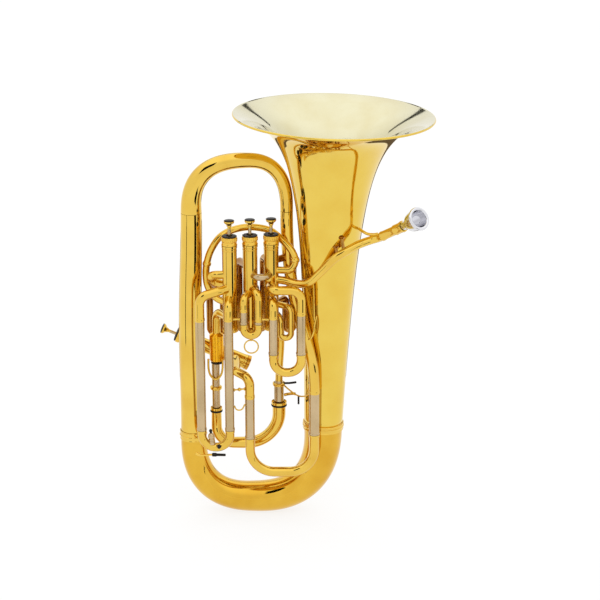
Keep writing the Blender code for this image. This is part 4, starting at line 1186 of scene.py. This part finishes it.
shank = RECEIVER_R - 0.7 - GAP
rim = MOUTH_LENGTH
outside = curve_through(
    [
        (shank - 0.6, 0.0), (shank, MOUTH_INSERT), (shank + 0.6, MOUTH_INSERT + 1.4),
        (shank + 1.2, MOUTH_INSERT + 6.0), (shank + 2.2, MOUTH_INSERT + 11.0),
        (shank + 4.4, MOUTH_INSERT + 15.5), (13.6, MOUTH_INSERT + 21.0),
        (15.0, MOUTH_INSERT + 27.0), (15.7, MOUTH_INSERT + 32.0),
        (15.9, rim - 6.5), (16.3, rim - 4.6), (MOUTH_RIM_R - 0.2, rim - 3.4),
        (MOUTH_RIM_R - 0.1, rim - 2.0), (MOUTH_RIM_R - 0.9, rim - 0.7), (MOUTH_RIM_R - 2.6, rim),
        (MOUTH_RIM_R - 4.4, rim - 0.8), (MOUTH_RIM_R - 5.1, rim - 2.4),
    ],
    5,
)
cup = curve_through(
    [
        (MOUTH_RIM_R - 5.1, rim - 2.4), (11.9, rim - 8.0), (10.4, rim - 14.0), (7.4, rim - 20.0),
        (4.4, rim - 25.0), (3.4, rim - 28.0), (3.4, rim - 31.0), (3.7, rim - 45.0),
        (shank - 1.8, 0.0),
    ],
    5,
)
mouth_foot = RECEIVER_FOOT + LINE * (RECEIVER_LENGTH - MOUTH_INSERT)
stand_for("mouthpiece", lathe, outside + cup[1:], 72, SILVER, mouth_foot, LINE, edge=0)

# ------------------------------------------------------------ stays and braces
left_post = Vector((THIRD_X[1], THIRD_Y, STAY_Z))
right_post = Vector((MAIN_SLIDE_X[0], MAIN_SLIDE_Y, STAY_Z))
along = (right_post - left_post).normalized()
start = left_post + along * (SLEEVE_R + GAP)
end = right_post - along * (MAIN_SLEEVE_R[0] + GAP)
run = (end - start).length
mid = run / 2
stay = [
    (0.0, 0.0), (2.8, 0.0), (2.6, 0.7), (1.6, 1.4), (1.3, 2.2), (1.3, mid - 3.0), (2.1, mid - 2.6),
    (1.8, mid - 2.0), (2.7, mid - 1.2), (3.0, mid), (2.7, mid + 1.2), (1.8, mid + 2.0),
    (2.1, mid + 2.6), (1.3, mid + 3.0), (1.3, run - 2.2), (1.6, run - 1.4), (2.6, run - 0.7),
    (2.8, run), (0.0, run),
]
stand_for("slide_stay", lathe, stay, 32, BRASS, start, along, loop=False, edge=0.1)
tube_gap("stay_third_to_second", (THIRD_X[1], THIRD_Y), (SECOND_X[0], SECOND_Y), SLEEVE_R,
         SLEEVE_R - SECOND_R_CUT, 342.0, radius=1.6, foot=2.6)
tube_gap("stay_second_to_first", (SECOND_X[1], SECOND_Y), (FIRST_X[0], FIRST_Y),
         SLEEVE_R - SECOND_R_CUT, SLEEVE_R, 342.0, radius=1.6, foot=2.6)

# loops behind the valves: valve left and its height, x of both legs, their y, lowest
# height, height and valve met, bend radii and pipe radius
rear_loops = [
    ("second", 2, 414.0, (-21.5, -8.5), 22.0, 302.0, 390.0, 2, (9.0, 6.4, 6.4, 9.0), 6.2),
    ("first", 1, 420.0, (17.5, 4.5), 22.0, 302.0, 372.0, 2, (9.0, 6.4, 6.4, 9.0), 6.2),
    ("third", 3, 376.0, (-67.0, -46.0), 27.0, 292.0, 352.0, 3, (10.0, 9.0, 9.0, 10.0), 5.4),
    ("fourth", 1, 424.0, (63.0, 51.5), 17.0, 302.0, 354.0, 1, (9.0, 5.7, 5.7, 8.0), 5.6),
]
# the rear loops wear the dark brown painted-shade brass, for the shade behind the valves
for tag, start, start_z, (x0, x1), y, low, end_z, end, bends, radius in rear_loops:
    corners = [axis_point(start, start_z), (x0, y, start_z), (x0, y, low), (x1, y, low),
               (x1, y, end_z), axis_point(end, end_z)]
    settle(pipe(f"rear_{tag}_loop", fillet(corners, bends), radius, radius - TUBE_WALL,
                PAINTED_SHADE_BRASS, 36, joints=(casing(start), casing(end))), ROOT)

# soldered rings where the arched pipe changes to its end tubes
arch_ring_r = SMALL_TUBE_R + 0.05
band("arch_left_ferrule", Vector((-68.9, -0.1, 415.0)), Vector((-0.08, -0.04, -1.0)).normalized(),
     arch_ring_r, bead(7.0, 1.1))
band("arch_right_ferrule", Vector((66.4, -21.2, 427.6)), Vector((-0.18, 0.30, 0.94)).normalized(),
     arch_ring_r, bead(8.0, 1.3))

# fork under the port box, and the disc on the pipe below it
wire(
    "port_box_fork",
    [
        (-69.6, 5.0, 257.0), (-69.4, 4.6, 240.0), (-66.0, 3.6, 229.0), (-58.5, 2.6, 223.5),
        (-51.0, 3.6, 229.0), (-47.6, 4.6, 240.0), (-47.4, 5.0, 257.0),
    ],
    1.7,
)
band("port_box_disc", Vector((FOURTH_X[0], FOURTH_Y, 207.0)), Z_SIDE, FOURTH_LEG_R[0] + 0.03,
     [(0.1, -3.2), (2.4, -2.6), (3.0, -1.4), (3.0, 1.2), (2.0, 2.2), (0.6, 3.0)])
band("port_box_rim", Vector((BOX_X, FOURTH_Y, BOX_Z[0] - 1.6)), Z_SIDE, FOURTH_LEG_R[0] + 0.03,
     [(0.2, -1.4), (2.6, -1.0), (3.2, 0.0), (2.6, 1.1)], RUBBER)

# black rings below the mouths of the wide slide: painted shade in the rubber look, standing for
# the shadow under each ferrule lip
SHADOW_RING_DROP = 2.0
shadow_ring_profile = [(0.3, -1.5), (1.6, -1.2), (1.9, 0.0), (1.6, 1.2), (0.3, 1.5)]
for k, (tag, clear) in enumerate((("left", 0.076), ("right", 0.082))):
    height = FOURTH_RING_Z[k] - RING_DEPTH - SHADOW_RING_DROP
    band("fourth_slide_shadow_ring_" + tag, Vector((FOURTH_X[k], FOURTH_Y, height)), Z_SIDE,
         FOURTH_CROOK_R[k] + clear, shadow_ring_profile, RUBBER, "fourth_valve_slide")

# bracket between the return pipe and the main slide, with its thumb lever and pin
band("return_pipe_flange", Vector((FOURTH_X[1], FOURTH_Y, 213.0)), Z_SIDE, FOURTH_LEG_R[1] + 0.03,
     [(0.1, -2.6), (1.6, -2.2), (2.0, -1.0), (1.2, 0.0), (2.2, 1.0), (1.8, 2.2), (0.2, 2.8)])
wire("bracket_wire", [(48.0, 4.0, 214.0), (57.0, -3.0, 208.0), (70.0, -14.0, 203.0),
                      (81.0, -27.0, 207.0), (88.6, -37.6, 215.0)], 1.25)
wire("thumb_lever", [(48.5, 3.0, 217.0), (58.0, 0.0, 218.4), (68.0, -2.0, 220.6)], 1.7, RUBBER)
wire("bracket_pin", [(71.5, -14.2, 201.4), (71.5, -14.6, 195.0), (71.5, -15.0, 188.6)], 1.5,
     RUBBER)
wire("bracket_web", [(49.4, 6.0, 196.0), (55.0, 2.0, 199.0), (62.0, -6.0, 203.0),
                     (66.0, -10.0, 204.2)], 2.4, CAP_BRASS)

# light wire stay between the third and main slides
wire("lower_wire_stay", [(-27.7, -49.0, 200.0), (-25.0, -47.4, 193.6), (-20.2, -46.0, 191.4),
                         (-15.4, -44.6, 193.2), (-11.7, -43.6, 200.4)], 1.1)

# hooked brace from the small branch to the bell
wire("bell_hook_brace", [(86.0, -41.8, 306.5), (90.6, -43.6, 309.6), (94.6, -43.4, 320.0),
                         (96.4, -41.6, 333.0), (99.2, -36.4, 343.0)], 1.4)

# braces that carry the leadpipe on the bell
wire("leadpipe_brace", [(162.4, -28.0, 479.5), (167.6, -36.0, 478.0), (175.0, -42.6, 475.6),
                        (184.0, -47.0, 476.0), (190.6, -50.0, 478.0)], 2.3)
LEAD_STAY_R = 2.4
# the two leadpipe stays wear the dark brown painted-shade brass too
post("leadpipe_stay_upper", Vector((136.5, -45.6, 470.0)), Vector((139.0, -54.0, 454.0)),
     LEAD_STAY_R, 5.4, PAINTED_SHADE_BRASS)
post("leadpipe_stay_lower", Vector((127.5, -45.0, 455.0)), Vector((129.5, -53.6, 444.5)),
     LEAD_STAY_R, 5.0, PAINTED_SHADE_BRASS)

# ------------------------------------------------------------ water key
lever_run = KEY_X[1] - KEY_X[0]
pad = (THIRD_X[0] + THIRD_X[1]) / 2 - KEY_X[0]
lever = spline(
    [
        (KEY_X[0], KEY_Y, KEY_Z + 5.5), (KEY_X[0] + 8.0, KEY_Y, KEY_Z + 1.6),
        (KEY_X[0] + lever_run * 0.5, THIRD_Y, KEY_Z - 0.5), (KEY_X[1], THIRD_Y, KEY_Z - 1.0),
    ],
    14,
)
run = lengths(lever)[-1]
table = [
    (0.0, 1.6), (0.6, 2.2), (5.0, 2.2), (8.0, 1.6), (pad - 4.2, 1.6), (pad - 3.6, 2.6),
    (pad - 2.6, 3.0), (pad + 2.6, 3.0), (pad + 3.6, 2.2), (run - 0.8, 2.0), (run, 1.2),
]
rows = stations(lever, (table,), Z_SIDE)
rings, spots = sweep(rows, table, 24)
marks = [1 if spot > pad - 5.0 else 0 for spot in spots[:-1]]
stand_for("water_key", skin, rings, (CAP_BRASS, RUBBER), marks, edge=0.1, slot="cap_brass")

# spring barrel and screw standing on the crook beside the key
nozzle_foot = Vector((-62.5, THIRD_Y - 2.0, THIRD_CROOK_Z + CROOK_R - 0.4))
nozzle_axis = Vector((-0.1, -0.08, 1.0)).normalized()
nozzle = [
    (0.0, 0.0), (5.2, 0.0), (5.4, 1.0), (4.2, 2.2), (4.2, 3.4), (4.9, 3.9), (4.9, 5.1), (4.2, 5.6),
    (4.2, 6.6), (4.9, 7.1), (4.9, 8.3), (4.2, 8.8), (4.3, 10.0), (5.0, 11.0), (5.0, 14.0),
    (4.2, 16.4), (2.6, 18.0), (1.8, 18.6), (1.8, 21.0), (2.5, 21.6), (2.5, 24.0), (1.6, 25.0),
    (0.0, 25.2),
]
tip = 17
marks = [0] * tip + [1] * (len(nozzle) - 1 - tip)
settle(lathe("water_key_spring_barrel", nozzle, 40, (NICKEL, RUBBER), nozzle_foot, nozzle_axis,
             marks, loop=False, edge=0.12), "third_valve_slide")
nub_axis = Vector((0.5, -0.8, 0.25)).normalized()
nub_foot = Vector((-54.0, THIRD_Y - CROOK_R + 1.4, THIRD_CROOK_Z + 3.6))
nub = [(0.0, -2.0), (2.4, -2.0), (2.4, 2.6), (3.3, 3.1), (3.5, 4.6), (2.8, 5.8), (0.0, 6.2)]
settle(lathe("water_key_screw", nub, 32, (NICKEL, RUBBER), nub_foot, nub_axis,
             [0, 0, 0, 0, 1, 1], loop=False, edge=0.12), "third_valve_slide")


# ------------------------------------------------------------ studio
def card(name, points, faces, look):
    """Flat piece of the stage, not of the part."""
    mesh = bpy.data.meshes.new(name)
    mesh.from_pydata([tuple(p) for p in points], [], faces)
    obj = place_mesh(name, mesh, look)
    return obj


def plane(name, centre, u, v, look):
    """Flat card spanning centre +/- u +/- v."""
    corners = [centre - u - v, centre + u - v, centre + u + v, centre - u + v]
    return card(name, corners, [(0, 1, 2, 3)], look)


WHITE = (1.0, 1.0, 1.0, 1.0)
world = bpy.data.worlds.new("white_tent")
world.use_nodes = True
sky_nodes = world.node_tree.nodes
sky_links = world.node_tree.links
sky_place = sky_nodes.new("ShaderNodeTexCoord")
sky_split = sky_nodes.new("ShaderNodeSeparateXYZ")
sky_rise = fill(sky_nodes.new("ShaderNodeMapRange"), From_Min=0.3, From_Max=0.85, To_Min=1.0,
                To_Max=1.25)
sky_rise.interpolation_type = "SMOOTHSTEP"
sky_links.new(sky_place.outputs["Generated"], sky_split.inputs["Vector"])
sky_links.new(sky_split.outputs["Z"], sky_rise.inputs["Value"])
sky_links.new(sky_rise.outputs["Result"], sky_nodes["Background"].inputs["Strength"])
fill(sky_nodes["Background"], Color=WHITE)
bpy.context.scene.world = world


def dull(name, colour, roughness=1.0, **extra):
    """Stage look without any gloss."""
    return surface(name, Base_Color=(*colour, 1.0), Roughness=roughness, Specular_IOR_Level=0.0,
                   **extra)[0]


floor_look = dull("pale_floor", (0.2, 0.2, 0.2), 0.9, Emission_Color=WHITE, Emission_Strength=0.8)
dark_look = dull("dark_flag", (0.004, 0.004, 0.004))
edge_look = dull("brown_flag", (0.12, 0.09, 0.06))
plane("studio_floor", Vector((0, 6, 0)), Vector((16, 0, 0)), Vector((0, 16, 0)), floor_look)


def hide_flag(obj):
    """A flag shows only in the polish, as a studio flag outside the frame does."""
    obj.visible_camera = False
    obj.visible_diffuse = False
    obj.visible_shadow = False


def floor_flag(name, azimuth, spread, near, far, look=dark_look):
    """Dark sector on the floor about the part; azimuth 0 is -y, positive is +x."""
    steps = 8
    height = 0.004
    inner = []
    outer = []
    for k in range(steps + 1):
        angle = math.radians(azimuth + spread * (k / steps - 0.5))
        out = Vector((math.sin(angle), -math.cos(angle), 0.0))
        inner.append(out * near + Vector((0.0, 0.0, height)))
        outer.append(out * far + Vector((0.0, 0.0, height)))
    faces = [(k, k + 1, steps + 2 + k, steps + 1 + k) for k in range(steps)]
    hide_flag(card(name, inner + outer, faces, look))


# azimuth, spread (degrees), then the near and far edge (m)
floor_flag("flag_right_front", 44.0, 24.0, 1.04, 1.9)
floor_flag("flag_left_front", -50.0, 6.0, 0.9, 1.9)
floor_flag("flag_right_rear", 158.0, 20.0, 0.6, 1.6, edge_look)
floor_flag("flag_left_rear", -158.0, 20.0, 0.6, 1.6, edge_look)
hide_flag(plane("flag_bar", Vector((-0.18, 1.9, 1.55)), Vector((1.33, 0, -0.245)),
                Vector((0.011, 0, 0.06)), dark_look))
hide_flag(plane("flag_upper_left", Vector((-0.93, -1.70, 1.83)), Vector((0.46, -0.26, 0.0)),
                Vector((-0.08, 0.17, 0.41)), dark_look))

scene = bpy.context.scene
scene.view_settings.view_transform = "Standard"

camera = bpy.data.cameras.new("studio_camera")
camera.lens = 105.9
camera.sensor_width = 36.0
camera.clip_start = 0.05
camera.clip_end = 100.0
eye = bpy.data.objects.new("studio_camera", camera)
eye.location = (0.0738, -2.5765, 1.2433)
eye.rotation_euler = (math.radians(71.0), 0.0, 0.0)
bpy.context.collection.objects.link(eye)
scene.camera = eye
